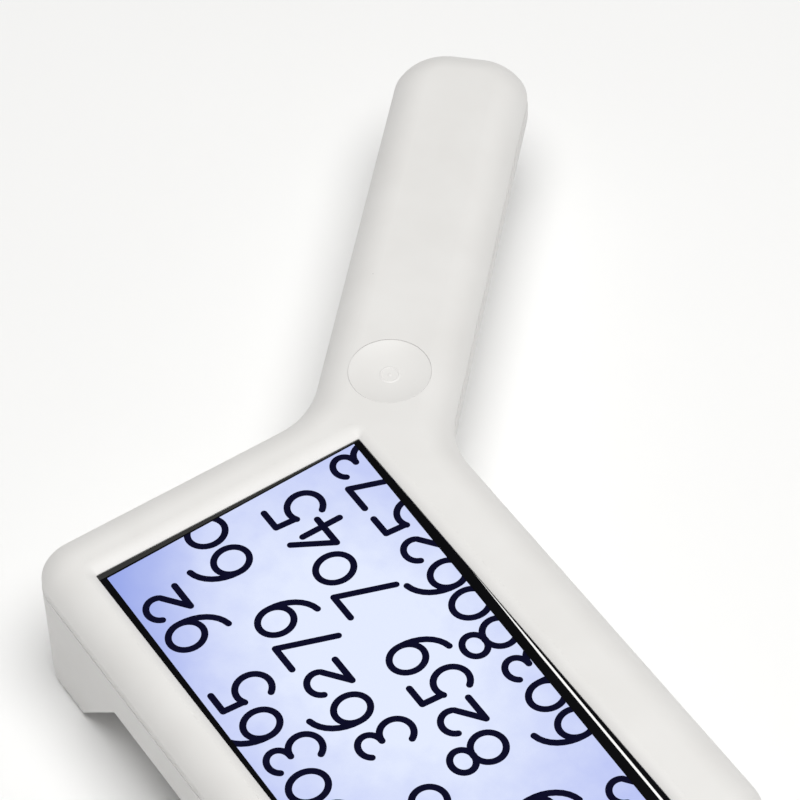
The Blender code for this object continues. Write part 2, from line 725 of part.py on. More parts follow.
def cut_handle_bay(housing):
    """Battery compartment: recess for the sliding cover, latch slot and opening for the pack."""
    cut(housing, door_zone(DOOR_THICKNESS + GAP, DOOR_START - GAP))
    half = BAY_WIDTH / 2
    frame = grip_frame(GRIP_BOTTOM)
    cut(housing, block("bay", (BAY_START, -half, 0.0), (BAY_END, half, BAY_TOP), frame))
    latch = LATCH_WIDTH / 2 + GAP
    cut(housing, block("latch_slot", (DOOR_START - LATCH_REACH - GAP, -latch, LATCH_LEVELS[0] - GAP),
                       (DOOR_START, latch, LATCH_LEVELS[1] + GAP), frame))


def cut_lights_and_camera(housing):
    """Windows in the floor for the camera and the two light bars, and the charging socket's hole."""
    above = INNER_FLOOR + 2 * OVER
    below = HOUSING_BOTTOM - 2 * OVER
    profile = [
        (0.0, below),
        (CAMERA_HOLE, below),
        (CAMERA_HOLE, SEAT_LEVEL),
        (CAMERA_SEAT, SEAT_LEVEL),
        (CAMERA_SEAT, above),
        (0.0, above),
    ]
    tools = [turned("camera_hole", profile, (0.0, 0.0), FINE_SIDES)]
    for x in (-LIGHT_X, LIGHT_X):
        slot = rectangle_loop(*LIGHT_SLOT, LIGHT_CORNER, (x, 0.0))
        seat = rectangle_loop(*LIGHT_SEAT, LIGHT_CORNER, (x, 0.0))
        rings = [(slot, below), (slot, SEAT_LEVEL), (seat, SEAT_LEVEL), (seat, above)]
        tools.append(loft("light_slot", rings))
    half = SOCKET_WIDTH / 2 + GAP
    reach = 3 * WALL
    tools.append(block("socket_hole", (X_END - reach, SOCKET_Y - half, BOARD_UNDER - SOCKET_HEIGHT - GAP),
                       (X_END + reach, SOCKET_Y + half, BOARD_BOTTOM)))
    cut(housing, merge(tools))


def cut_screw_holes(housing):
    """Stepped holes for the case screws, blind holes for the board screws, recesses for the pads."""
    head = SCREW_HEAD + SCREW_PLAY
    shank = SCREW_SHANK + GAP
    pad = PAD_RADIUS + 2 * GAP
    below = FOOT_BOTTOM - OVER
    above = TONGUE_TOP + OVER
    tools = []
    for centre in CASE_SCREWS:
        profile = [(0.0, below), (head, below)]
        if centre in FOOT_SCREWS:
            profile = [(0.0, below), (pad, below), (pad, PAD_SEAT), (head, PAD_SEAT)]
        profile += [(head, SEAT), (shank, SEAT), (shank, above), (0.0, above)]
        tools.append(turned("screw_hole", profile, centre, SMALL_SIDES))
    pilot = BOARD_SCREW + GAP
    blind = BOARD_BOTTOM - BOARD_SCREW_LENGTH
    tools += [peg("pilot", centre, pilot, blind, above, SMALL_SIDES) for centre in BOARD_SCREWS]
    cut(housing, merge(tools))


def make_foot_pads(materials):
    bottom = FOOT_BOTTOM - PAD_STAND
    profile = [
        (0.0, bottom),
        (PAD_RADIUS - PAD_CHAMFER, bottom),
        (PAD_RADIUS, bottom + PAD_CHAMFER),
        (PAD_RADIUS, PAD_SEAT - GAP),
        (0.0, PAD_SEAT - GAP),
    ]
    for number, centre in enumerate(FOOT_SCREWS, 1):
        pad = turned("pad", profile, centre)
        finish(pad, f"foot_pad_{number}", materials["rubber"], smooth=True)


# ---------------------------------------------------------------- battery cover and pack

def make_battery_cover(materials):
    """Sliding cover: the last part of the handle's underside, with a latch and a thumb grip."""
    cover = lower_shell()
    keep(cover, door_zone(DOOR_THICKNESS, DOOR_START))
    frame = grip_frame(GRIP_BOTTOM)
    half = LATCH_WIDTH / 2
    tools = [block("latch", (DOOR_START - LATCH_REACH, -half, LATCH_LEVELS[0]),
                   (DOOR_START + LATCH_ROOT, half, LATCH_LEVELS[1]), frame)]
    for k in range(RIDGES):
        ridge = DOOR_START + RIDGE_START + RIDGE_PITCH * k
        tools.append(block("ridge", (ridge, -RIDGE_HALF, -RIDGE_HEIGHT),
                           (ridge + RIDGE_WIDTH, RIDGE_HALF, RIDGE_HEIGHT), frame))
    add(cover, merge(tools))
    finish(cover, "battery_cover", materials["case"], frame @ Vector((DOOR_START, 0.0, 0.0)))


def make_battery(materials):
    """Flat rechargeable pack above the cover, with sprung contacts at its inner end."""
    frame = grip_frame(GRIP_BOTTOM)
    middle = ((PACK_START + PACK_END) / 2, 0.0)
    outline = rectangle_loop(PACK_END - PACK_START, BAY_WIDTH - OVER, PACK_CORNER, middle)
    pack = loft("pack", [(outline, PACK_LOW), (outline, PACK_HIGH)])
    pack.data.transform(frame)
    finish(pack, "battery_pack", materials["battery"])

    face = PACK_START - CONTACT_ROOM
    holder = block("block", (face - BLOCK_LENGTH, -BLOCK_HALF, BLOCK_LOW),
                   (face, BLOCK_HALF, PACK_HIGH), frame)
    finish(holder, "contact_block", materials["black"])
    profile = leaf_profile(face + GAP, PACK_START - GAP, BLOCK_LOW + 2 * LEAF_THICKNESS,
                           PACK_HIGH - 2 * LEAF_THICKNESS)
    for name, w in (("plus", CONTACT_W), ("minus", -CONTACT_W)):
        spring = side_prism("spring", profile, w - CONTACT_HALF, w + CONTACT_HALF)
        spring.data.transform(frame)
        finish(spring, f"contact_spring_{name}", materials["gold"])


def leaf_profile(x0, x1, z0, z1):
    """Bent strip between two walls: a foot against the first one and a bow towards the second."""
    half = LEAF_THICKNESS / 2
    foot = 0.8 * MM
    bow_start = 0.6 * MM
    bow_steps = 6
    bow_depth = x1 - x0 - 2 * half - bow_start
    bow_half = (z1 - z0) / 2 - foot
    centre_line = [(x0 + half, z1), (x0 + half, z0 + foot)]
    for k in range(bow_steps + 1):
        angle = math.pi * k / bow_steps
        centre_line.append((x0 + half + bow_start + bow_depth * math.sin(angle),
                            (z0 + z1) / 2 - bow_half * math.cos(angle)))
    return strip_outline(centre_line, half)


# ---------------------------------------------------------------- button and switch

def make_button(materials):
    """Round push button: a finger dish with a retaining flange under it, over a push switch."""
    centre = on_handle(BUTTON_U)
    origin = (centre.x, centre.y, 0.0)
    flange_top = -COVER_THICKNESS - GAP
    profile = [
        (0.0, STEM_BOTTOM),
        (BUTTON_STEM, STEM_BOTTOM),
        (BUTTON_STEM, FLANGE_BOTTOM),
        (BUTTON_FLANGE, FLANGE_BOTTOM),
        (BUTTON_FLANGE, flange_top),
        (BUTTON_RADIUS, flange_top),
    ]
    dish_steps = 3
    for k in range(dish_steps + 1):
        share = 1.0 - k / dish_steps
        height = BUTTON_RIM + (BUTTON_DISH - BUTTON_RIM) * (1.0 - share * share)
        profile.append((BUTTON_RADIUS * share, height))
    cap = turned("cap", profile, centre, FINE_SIDES)
    finish(cap, "button_cap", materials["case"], origin, smooth=True)

    plunger = peg("plunger", centre, PLUNGER_RADIUS, PLUNGER_BOTTOM, STEM_BOTTOM - GAP, SMALL_SIDES)
    finish(plunger, "switch_plunger", materials["black"], origin, smooth=True)

    frame = grip_frame()
    body = block("body", (BUTTON_U - SWITCH_HALF, -SWITCH_HALF, SWITCH_BOTTOM),
                 (BUTTON_U + SWITCH_HALF, SWITCH_HALF, SWITCH_TOP), frame)
    cut(body, peg("bore", centre, PLUNGER_RADIUS + GAP, BORE_FLOOR, SWITCH_TOP + OVER, SMALL_SIDES))
    finish(body, "switch_body", materials["black"])
    half_u, half_w = SWITCH_BOARD_HALF
    board = block("board", (BUTTON_U - half_u, -half_w, SWITCH_BOARD_BOTTOM),
                  (BUTTON_U + half_u, half_w, SWITCH_BOARD_TOP), frame)
    finish(board, "switch_board", materials["board"])


# ---------------------------------------------------------------- display

def slab(name, size, bottom, top, radius=0.5 * MM):
    """Flat rectangular plate."""
    outline = rectangle_loop(*size, radius)
    return loft(name, [(outline, bottom), (outline, top)])


def frame_solid(name, outer, inner, bottom, top):
    """Flat rectangular ring."""
    ring = slab(name, outer, bottom, top, 0.8 * MM)
    return cut(ring, slab("hole", inner, bottom - OVER, top + OVER, WINDOW_CORNER))


def make_display(materials):
    """Liquid crystal module: gasket, steel frame, glass panel, light guide and back plate."""
    gasket = frame_solid("gasket", GASKET_OUTER, GASKET_INNER, GASKET_BOTTOM, GASKET_TOP)
    finish(gasket, "display_gasket", materials["black"])

    window = (GLASS_SIZE[0] + 2 * GAP, GLASS_SIZE[1] + 2 * GAP)
    inside = (FRAME_SIZE[0] - 2 * FRAME_WALL, FRAME_SIZE[1] - 2 * FRAME_WALL)
    frame = frame_solid("frame", FRAME_SIZE, window, FRAME_BOTTOM, FRAME_TOP)
    cut(frame, slab("pocket", inside, FRAME_BOTTOM - OVER, FRAME_LIP))
    finish(frame, "display_frame", materials["steel"])

    plate = (inside[0] - 2 * GAP, inside[1] - 2 * GAP)
    panel = slab("panel", plate, PANEL_BOTTOM, FRAME_LIP - GAP)
    add(panel, slab("glass", GLASS_SIZE, PANEL_BOTTOM + GAP, GLASS_TOP))
    finish(panel, "display_panel", materials["display"])
    light_guide = slab("guide", plate, FRAME_BOTTOM + GAP, PANEL_BOTTOM - GAP)
    finish(light_guide, "display_backlight", materials["white"])
    back_top = FRAME_BOTTOM - GAP
    back = slab("back", FRAME_SIZE, back_top - PLATE_THICKNESS, back_top)
    finish(back, "display_back_plate", materials["steel"])


# ---------------------------------------------------------------- electronics

def make_boards(materials):
    """Main board on its four posts, with what is soldered to its underside."""
    main = block("main", (BOARD_X[0], BOARD_Y[0], BOARD_BOTTOM), (BOARD_X[1], BOARD_Y[1], BOARD_TOP))
    hole = BOARD_SCREW + GAP
    for centre in BOARD_SCREWS:
        cut(main, peg("hole", centre, hole, BOARD_BOTTOM - OVER, BOARD_TOP + OVER, SMALL_SIDES))
    finish(main, "main_board", materials["board"])

    base = BOARD_TOP + GAP
    profile = [
        (0.0, base - BOARD_SCREW_LENGTH),
        (BOARD_SCREW, base - BOARD_SCREW_LENGTH + SCREW_CHAMFER),
        (BOARD_SCREW, base),
        (BOARD_SCREW_HEAD, base),
        (BOARD_SCREW_HEAD - GAP, base + BOARD_SCREW_HEAD_HEIGHT),
        (0.0, base + BOARD_SCREW_HEAD_HEIGHT),
    ]
    for number, centre in enumerate(BOARD_SCREWS, 1):
        screw = turned("screw", profile, centre, SMALL_SIDES)
        finish(screw, f"board_screw_{number}", materials["steel"], smooth=True)

    shield = block("shield", (SHIELD_X[0], SHIELD_Y[0], BOARD_UNDER - SHIELD_HEIGHT),
                   (SHIELD_X[1], SHIELD_Y[1], BOARD_UNDER))
    finish(shield, "processor_shield", materials["steel"])

    mouth = X_END - 2 * HOUSING_STEP
    half = SOCKET_WIDTH / 2
    inner = half - SOCKET_WALL
    low = BOARD_UNDER - SOCKET_HEIGHT
    socket = block("socket", (mouth - SOCKET_DEPTH, SOCKET_Y - half, low),
                   (mouth, SOCKET_Y + half, BOARD_UNDER))
    cut(socket, block("mouth", (mouth - SOCKET_MOUTH, SOCKET_Y - inner, low + SOCKET_WALL),
                      (mouth + OVER, SOCKET_Y + inner, BOARD_UNDER - SOCKET_WALL)))
    finish(socket, "charge_socket", materials["steel"])

    half = DISPLAY_CABLE_WIDTH / 2 + OVER
    connector = block("connector", (-half, CONNECTOR_Y, BOARD_UNDER - CONNECTOR_HEIGHT),
                      (half, CONNECTOR_Y + CONNECTOR_DEPTH, BOARD_UNDER))
    finish(connector, "display_connector", materials["white"])
    power = block("power", (POWER_X[0], POWER_Y[0], BOARD_UNDER - POWER_HEIGHT),
                  (POWER_X[1], POWER_Y[1], BOARD_UNDER))
    finish(power, "power_connector", materials["white"])


def make_camera(materials):
    """Camera over the middle of the page: sensor, holder, barrel, lens and the window in the floor."""
    centre = (0.0, 0.0)
    sensor = block("sensor", (-SENSOR_HALF, -SENSOR_HALF, BOARD_UNDER - SENSOR_THICKNESS),
                   (SENSOR_HALF, SENSOR_HALF, BOARD_UNDER))
    finish(sensor, "image_sensor", materials["chip"])
    low = BOARD_UNDER - HOLDER_HEIGHT
    holder = block("holder", (-HOLDER_HALF, -HOLDER_HALF, low), (HOLDER_HALF, HOLDER_HALF, BOARD_UNDER))
    cut(holder, peg("bore", centre, HOLDER_BORE, low - OVER, BOARD_UNDER + OVER))
    finish(holder, "camera_holder", materials["black"])

    top = BOARD_UNDER - SENSOR_THICKNESS - 2 * GAP
    profile = [
        (BARREL_BORE, BARREL_BOTTOM),
        (BARREL_RADIUS, BARREL_BOTTOM),
        (BARREL_RADIUS, top),
        (BARREL_BORE, top),
    ]
    finish(turned("barrel", profile, centre), "camera_barrel", materials["black"], smooth=True)
    low = BARREL_BOTTOM + GAP
    profile = [
        (0.0, low),
        (0.6 * LENS_RADIUS, low + 0.1 * LENS_RADIUS),
        (LENS_RADIUS, low + 0.3 * LENS_RADIUS),
        (LENS_RADIUS, low + LENS_HEIGHT),
        (0.0, low + LENS_HEIGHT),
    ]
    finish(turned("lens", profile, centre), "camera_lens", materials["clear"], smooth=True)
    low = SEAT_LEVEL + GAP
    pane = peg("pane", centre, CAMERA_SEAT - GAP, low, low + WINDOW_THICKNESS, FINE_SIDES)
    finish(pane, "camera_window", materials["clear"], smooth=True)


def make_lights(materials):
    """Two bars of lights, each three lamps on a strip board behind a diffuser."""
    number = 0
    low = SEAT_LEVEL + GAP
    half_x, half_y = LIGHT_BOARD_HALF
    lamp_top = LIGHT_BOARD_BOTTOM - GAP
    size = (LIGHT_SEAT[0] - 2 * GAP, LIGHT_SEAT[1] - 2 * GAP)
    for x, word in ((-LIGHT_X, "left"), (LIGHT_X, "right")):
        outline = rectangle_loop(*size, LIGHT_CORNER - GAP, (x, 0.0))
        diffuser = loft("diffuser", [(outline, low), (outline, low + DIFFUSER_THICKNESS)])
        finish(diffuser, f"light_diffuser_{word}", materials["white"])
        board = block("strip", (x - half_x, -half_y, LIGHT_BOARD_BOTTOM),
                      (x + half_x, half_y, LIGHT_BOARD_BOTTOM + OVER))
        finish(board, f"light_board_{word}", materials["board"])
        for y in (-LAMP_PITCH, 0.0, LAMP_PITCH):
            number += 1
            lamp = block("lamp", (x - LAMP_HALF, y - LAMP_HALF, lamp_top - LAMP_HEIGHT),
                         (x + LAMP_HALF, y + LAMP_HALF, lamp_top))
            finish(lamp, f"lamp_{number}", materials["white"])


# ---------------------------------------------------------------- cables

def strip_outline(centre_line, half):
    """Outline of a bent strip around its centre line."""
    left = []
    right = []
    for k, point in enumerate(centre_line):
        before = centre_line[max(0, k - 1)]
        after = centre_line[min(len(centre_line) - 1, k + 1)]
        run = Vector((after[0] - before[0], after[1] - before[1])).normalized() * half
        left.append((point[0] - run.y, point[1] + run.x))
        right.append((point[0] + run.y, point[1] - run.x))
    return left + right[::-1]


def ribbon(name, centre_line, x_low, x_high):
    """Flat cable that follows (y, z) points, between two X positions."""
    outline = strip_outline(centre_line, CABLE_THICKNESS / 2)
    bm = bmesh.new()
    rows = [[bm.verts.new((x, y, z)) for y, z in outline] for x in (x_low, x_high)]
    close_rows(bm, rows)
    return mesh_object(name, bm)


def smooth_route(points, per_span):
    """Points along a smooth curve that passes through the given ones."""
    padded = [points[0] * 2 - points[1], *points, points[-1] * 2 - points[-2]]
    route = []
    for k in range(len(points) - 1):
        p0, p1, p2, p3 = padded[k:k + 4]
        for j in range(per_span):
            t = j / per_span
            route.append(0.5 * (2 * p1 + (p2 - p0) * t + (2 * p0 - 5 * p1 + 4 * p2 - p3) * t * t
                                + (3 * p1 - p0 - 3 * p2 + p3) * t ** 3))
    route.append(points[-1])
    return route


def make_wire(name, points, material):
    """Round wire along a smooth route, with filled ends."""
    curve = bpy.data.curves.new(name, "CURVE")
    curve.dimensions = "3D"
    curve.bevel_depth = LEAD_RADIUS
    curve.bevel_resolution = 1
    curve.use_fill_caps = True
    route = smooth_route(points, 4)
    spline = curve.splines.new("POLY")
    spline.points.add(len(route) - 1)
    for target, point in zip(spline.points, route):
        target.co = (*point, 1.0)
    wire = bpy.data.objects.new(name, curve)
    bpy.context.collection.objects.link(wire)
    curve.materials.append(material)


def make_display_cable(materials):
    """Flat cable from under the display, around the board's edge, to the connector below the board."""
    high_z = FRAME_BOTTOM - PLATE_THICKNESS - 2 * GAP - CABLE_THICKNESS
    low_z = BOARD_UNDER - CONNECTOR_HEIGHT / 2
    radius = (high_z - low_z) / 2
    steps = 8
    line = [(POWER_Y[0], high_z)]
    for k in range(steps + 1):
        angle = math.pi * k / steps
        line.append((CABLE_BEND_Y - radius * math.sin(angle), low_z + radius + radius * math.cos(angle)))
    line.append((CONNECTOR_Y - GAP, low_z))
    half = DISPLAY_CABLE_WIDTH / 2
    finish(ribbon("ribbon", line, -half, half), "display_cable", materials["cable"])


def make_button_cable(materials):
    """Flat cable from the switch board to the underside of the main board, hanging a little."""
    start = on_handle(BUTTON_U - 1.5 * SWITCH_HALF, 1.2 * -SWITCH_HALF)
    from_z = SWITCH_BOARD_BOTTOM - GAP - CABLE_THICKNESS / 2
    to_z = BOARD_UNDER - CABLE_THICKNESS / 2
    span = POWER_Y[0] - BUTTON_CABLE_INSET - start.y
    steps = 8
    line = []
    for k in range(steps + 1):
        share = k / steps
        sag = BUTTON_CABLE_SAG * math.sin(math.pi * share)
        line.append((start.y + span * share, from_z + (to_z - from_z) * share - sag))
    cable = ribbon("ribbon", line, start.x - BUTTON_CABLE_HALF, start.x + BUTTON_CABLE_HALF)
    finish(cable, "button_cable", materials["cable"])


def make_battery_leads(materials):
    """Two leads from the contact block, under the switch, to the power connector."""
    frame = grip_frame(GRIP_BOTTOM)
    block_back = PACK_START - CONTACT_ROOM - BLOCK_LENGTH - 2 * GAP
    for name, side, material in (("plus", 1.0, "red"), ("minus", -1.0, "black")):
        points = [frame @ Vector((block_back, side * LEAD_W, BLOCK_LOW + LEAD_W / 3))]
        for u, w, z in LEAD_ROUTE:
            place = on_handle(u, side * w)
            points.append(Vector((place.x, place.y, z)))
        end = Vector((sum(POWER_X) / 2 + side * LEAD_PITCH, POWER_Y[0] - 2 * GAP,
                      BOARD_UNDER - POWER_HEIGHT / 2))
        points += [end - LEAD_APPROACH, end]
        make_wire(f"battery_lead_{name}", points, materials[material])


# ---------------------------------------------------------------- assembly

def move_to_base():
    """Put the origin under the middle of the overall box, on the surface that the pads stand on."""
    loop = case_loop(0.0)
    middle_x = (min(point.x for point in loop) + max(point.x for point in loop)) / 2
    middle_y = (min(point.y for point in loop) + max(point.y for point in loop)) / 2
    shift = Vector((-middle_x, -middle_y, PAD_STAND - FOOT_BOTTOM))
    for obj in bpy.data.objects:
        obj.location += shift


def main():
    for obj in list(bpy.data.objects):
        bpy.data.objects.remove(obj)
    materials = make_materials()
    make_front_cover(materials)
    make_rear_housing(materials)
    make_foot_pads(materials)
    make_battery_cover(materials)
    make_battery(materials)
    make_button(materials)
    make_display(materials)
    make_boards(materials)
    make_camera(materials)
    make_lights(materials)
    make_display_cable(materials)
    make_button_cable(materials)
    make_battery_leads(materials)
    make_case_screws(materials)
    move_to_base()


main()
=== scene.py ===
"""Looks of the hand-held magnifier: fine shells, display, button, feet and materials.

Pieces are modelled in the display's own frame, as the CAD model is: its origin is in the middle of
the display opening on the cover's top face, +X runs towards the handle end, +Y up the displayed
page and +Z out of the display. Every length is in metres.
"""
import math
from functools import partial

import bmesh
import bpy
from mathutils import Matrix, Vector


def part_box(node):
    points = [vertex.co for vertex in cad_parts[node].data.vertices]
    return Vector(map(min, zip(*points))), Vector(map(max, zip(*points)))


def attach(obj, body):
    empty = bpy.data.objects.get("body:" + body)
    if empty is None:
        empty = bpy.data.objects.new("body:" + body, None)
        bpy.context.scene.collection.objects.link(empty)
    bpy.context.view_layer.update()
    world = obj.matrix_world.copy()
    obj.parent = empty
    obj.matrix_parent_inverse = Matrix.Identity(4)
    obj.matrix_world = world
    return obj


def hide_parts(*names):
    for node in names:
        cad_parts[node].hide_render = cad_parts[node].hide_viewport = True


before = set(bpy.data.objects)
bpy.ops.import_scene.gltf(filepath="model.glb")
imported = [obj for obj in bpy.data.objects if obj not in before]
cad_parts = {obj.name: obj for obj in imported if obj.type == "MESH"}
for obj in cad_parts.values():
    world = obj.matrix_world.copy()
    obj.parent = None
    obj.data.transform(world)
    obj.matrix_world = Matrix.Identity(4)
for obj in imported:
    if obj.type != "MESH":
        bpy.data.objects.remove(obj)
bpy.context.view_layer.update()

MM = 0.001
OVER = 1.0 * MM  # how far a cutter or a post reaches into or past its neighbour
WELD = 0.001 * MM  # points closer than this are one point after a Boolean
ARC_STEP = math.radians(5.0)  # facet angle along arcs in plan
SMOOTH_ANGLE = math.radians(35.0)
SIDES = 96  # round pieces that are looked at closely
SMALL_SIDES = 32


def middle(low, high):
    return (low + high) / 2


# ---- dimensions from the frame

PAD_LOW, PAD_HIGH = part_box("foot_pad_1")
PANEL_MIDDLE = middle(*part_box("display_panel"))
ORIGIN = Vector((PANEL_MIDDLE.x, PANEL_MIDDLE.y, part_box("front_cover")[1].z))
FLOOR = PAD_LOW.z


def local_box(node):
    """Two corners of a CAD node's box, in the display's frame."""
    return [Vector(corner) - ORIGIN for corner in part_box(node)]


X_FAR = local_box("front_cover")[0].x
Y_TOP = local_box("front_cover")[1].y
FOOT_BOTTOM = local_box("rear_housing")[0].z
BUTTON_BOTTOM = local_box("button_cap")[0].z

# ---- driving dimensions

OPENING = (119.3 * MM, 68.2 * MM)
HEAD_LENGTH = 147.0 * MM
HANDLE_ROOT_INSET = 15.7 * MM  # outer wall at the handle end to where the handle is measured from
X_END = X_FAR + HEAD_LENGTH
Y_BOTTOM = -OPENING[1] / 2 - 17.9 * MM
HEAD_CORNER = 10.0 * MM
HANDLE_ANGLE = math.radians(-44.0)
HANDLE_SHIFT = -2.4 * MM
HANDLE_WIDTH = 32.4 * MM
HANDLE_END = 126.7 * MM
HANDLE_CORNER = 12.5 * MM
FILLET_LOWER = 19.0 * MM
FILLET_UPPER = 20.0 * MM

EDGE_WIDTH = 8.5 * MM  # rounded shoulder of the cover
EDGE_DROP = 5.3 * MM
EDGE_ROUNDING = 0.3 * MM
LIP_ROUNDING = 0.2 * MM
COVER_BOTTOM = -7.5 * MM
COVER_THICKNESS = 2.2 * MM
COVER_WALL = 2.2 * MM
COVER_HOLLOW = [  # (inset, height) of the cover's inside, from its rim up
    (COVER_WALL, COVER_BOTTOM - OVER),
    (COVER_WALL, -6.0 * MM),
    (3.2 * MM, -3.8 * MM),
    (5.6 * MM, -2.5 * MM),
    (EDGE_WIDTH, -COVER_THICKNESS),
]
SEAM = 0.12 * MM
HOUSING_STEP = -0.14 * MM  # the housing stands out past the lip and catches the light
HOUSING_TOP = COVER_BOTTOM - SEAM
HOUSING_TOP_ROUNDING = 0.2 * MM
HOUSING_BOTTOM = -20.0 * MM
HEAD_EDGE_RADIUS = 2.2 * MM
GRIP_BOTTOM = -18.5 * MM
GRIP_RADIUS = 8.0 * MM
WALL = 2.0 * MM
GRIP_WALL = 3.2 * MM
INNER_FLOOR = HOUSING_BOTTOM + WALL
GRIP_INNER_FLOOR = GRIP_BOTTOM + 4.0 * MM
TONGUE_OUT = COVER_WALL + 0.3 * MM
TONGUE_IN = TONGUE_OUT + 1.2 * MM
TONGUE_TOP = -6.3 * MM
TONGUE_ROOT = -9.8 * MM
TONGUE_STEP = 0.6 * MM
HEAD_HOLLOW_INSET = 3.9 * MM
FOOT_RADIUS = 1.5 * MM
FOOT_FLAT = 19.3 * MM
FOOT_SLOPE_RUN = 15.6 * MM
FOOT_TOP = -16.0 * MM
FOOT_WALL = 2.4 * MM
FOOT_FLOOR = FOOT_BOTTOM + FOOT_WALL
FOOT_SLOPE_WALL = 2.8 * MM
PAD_RADIUS = (PAD_HIGH.x - PAD_LOW.x) / 2
PAD_SEAT = FOOT_BOTTOM + 0.7 * MM

DISH_DEPTH = 0.9 * MM
DISH_END = 3.9 * MM
DISH_SIDE = 2.8 * MM
DISH_CORNER = 3.5 * MM
CHAMFER_WIDTH = 0.15 * MM
CHAMFER_CORNER = 0.55 * MM
CHAMFER_BOTTOM = -1.05 * MM
WINDOW_CORNER = 0.4 * MM

BUTTON_U = 20.8 * MM
BUTTON_HOLE = 9.5 * MM
BUTTON_GAP = 0.04 * MM
BUTTON_FLANGE = 10.5 * MM
BUTTON_DISH = -1.35 * MM  # middle of the finger dish in the button's top
BUTTON_RIM = -0.02 * MM

AXIS_U = Vector((math.cos(HANDLE_ANGLE), math.sin(HANDLE_ANGLE)))
AXIS_W = Vector((-AXIS_U.y, AXIS_U.x))
HANDLE_ROOT = Vector((X_END - HANDLE_ROOT_INSET, -OPENING[1] / 2))


def node_centre(node):
    """Plan position of a CAD node's middle."""
    return middle(*local_box(node)).xy


PADS = [node_centre(f"foot_pad_{n}") for n in range(1, 5)]
CASE_SCREWS = [node_centre(f"case_screw_{n}") for n in range(1, 9)]
BOARD_SCREWS = [node_centre(f"board_screw_{n}") for n in range(1, 5)]

PLAY = 0.3 * MM  # clearance inside, where nothing is seen
DOOR_GAP = 0.2 * MM
SPLIT = -9.7 * MM  # the cover's bosses end here
PILOT_TOP = -3.4 * MM
BOSS = 2.8 * MM
COLUMN = 3.9 * MM
GRIP_COLUMN = 3.4 * MM
SCREW_SHANK = 1.0 * MM
SCREW_HEAD = 1.9 * MM
SCREW_HEAD_HEIGHT = 1.4 * MM
SCREW_SEAT = -13.0 * MM
SCREW_REACH = 5.6 * MM
SCREW_ROUNDING = 0.55 * MM
SCREW_TIP = 0.8 * MM
CROSS_DEPTH = 0.75 * MM

BOARD_BOTTOM = local_box("main_board")[0].z
BOARD_POST = 2.8 * MM
BOARD_PILOT = 1.1 * MM
BOARD_SCREW_LENGTH = 6.0 * MM
LIGHT_POST = 1.1 * MM
LIGHT_POST_INSET = 1.3 * MM  # from the end of a light board to its posts
SWITCH_POST_W = 6.5 * MM
SWITCH_POST = 1.6 * MM

DOOR_START = 52.0 * MM
DOOR_THICKNESS = 2.2 * MM
LATCH_WIDTH = 18.0 * MM
LATCH_REACH = 3.5 * MM
LATCH_LEVELS = (1.0 * MM, 1.9 * MM)
RIDGES = 5
RIDGE_START = 8.0 * MM
RIDGE_PITCH = 2.4 * MM
RIDGE_WIDTH = 1.0 * MM
RIDGE_HALF = 6.0 * MM
RIDGE_HEIGHT = 0.45 * MM
BAY_START = 56.0 * MM
BAY_END = HANDLE_END - 11.2 * MM
BAY_WIDTH = 24.0 * MM
BAY_TOP = 6.0 * MM

WINDOW_SEAT = HOUSING_BOTTOM + 0.8 * MM
CAMERA_HOLE = 6.0 * MM
CAMERA_SEAT = 8.5 * MM
LIGHT_SLOT = (5.6 * MM, 40.0 * MM)
LIGHT_SEAT = (8.6 * MM, 43.0 * MM)
LIGHT_CORNER = 1.0 * MM
SOCKET_CORNER = 1.2 * MM
SOCKET_MOUTH = 5.5 * MM

# The display: its parts lie in thin steps, and the lit area is a little askew in the opening
MODULE_HEIGHT = 1.1 * MM
MODULE_CORNER = 0.5 * MM
GLASS_BOTTOM = -1.6 * MM
LEVEL = 0.08 * MM
HALF_X = OPENING[0] / 2
HALF_Y = OPENING[1] / 2
EDGE_PLAY = 0.1 * MM
GLASS_X = HALF_X - EDGE_PLAY
GLASS_Y = HALF_Y - EDGE_PLAY
GLASS = [(GLASS_X, -GLASS_Y), (GLASS_X, GLASS_Y), (-GLASS_X, GLASS_Y), (-GLASS_X, -GLASS_Y)]
LIT = [  # corners at the margins that the black mask leaves
    (HALF_X - 0.5 * MM, -HALF_Y + 1.6 * MM),
    (HALF_X - 1.75 * MM, HALF_Y - 1.8 * MM),
    (-HALF_X + 1.6 * MM, HALF_Y - 0.8 * MM),
    (-HALF_X + 1.6 * MM, -HALF_Y + 4.2 * MM),
]
LIT_PLATE = [(x + math.copysign(EDGE_PLAY, x), y + math.copysign(EDGE_PLAY, y)) for x, y in LIT]
END_GAP_SHADE = [  # painted shade: grey sheet where the gap along the handle end lies in shadow
    (GLASS_X, -GLASS_Y),
    (GLASS_X, GLASS_Y),
    (HALF_X - 1.45 * MM, GLASS_Y),
    (HALF_X - 0.3 * MM, -GLASS_Y),
]
SIDE_GAP_SHADE = [  # painted shade: dark sheet where the gap along the -Y side lies in shadow
    (-1.0 * MM, -GLASS_Y),
    (-GLASS_X, -HALF_Y + 1.25 * MM),
    (-GLASS_X, -GLASS_Y),
]
FRAME_EDGE_HIGHLIGHT = [  # painted highlight: near-white strip along the edge of the module's frame, beside that gap
    (14.0 * MM, -GLASS_Y),
    (-12.0 * MM, -HALF_Y + 1.02 * MM),
    (-GLASS_X, -HALF_Y + 1.84 * MM),
    (-GLASS_X, -HALF_Y + 1.3 * MM),
]
GLOW_CENTRE = (8.0 * MM, -4.0 * MM)
GLOW_REACH = (76.0 * MM, 46.0 * MM)
GLOW_MIDDLE = (0.78, 0.84, 1.0)
GLOW_EDGE = (0.42, 0.48, 0.88)
GLOW_CORNER = (0.28, 0.36, 0.80)
PIXEL_PITCH = 0.135 * MM
PIXEL_LINE = (0.2, 0.25, 0.6)

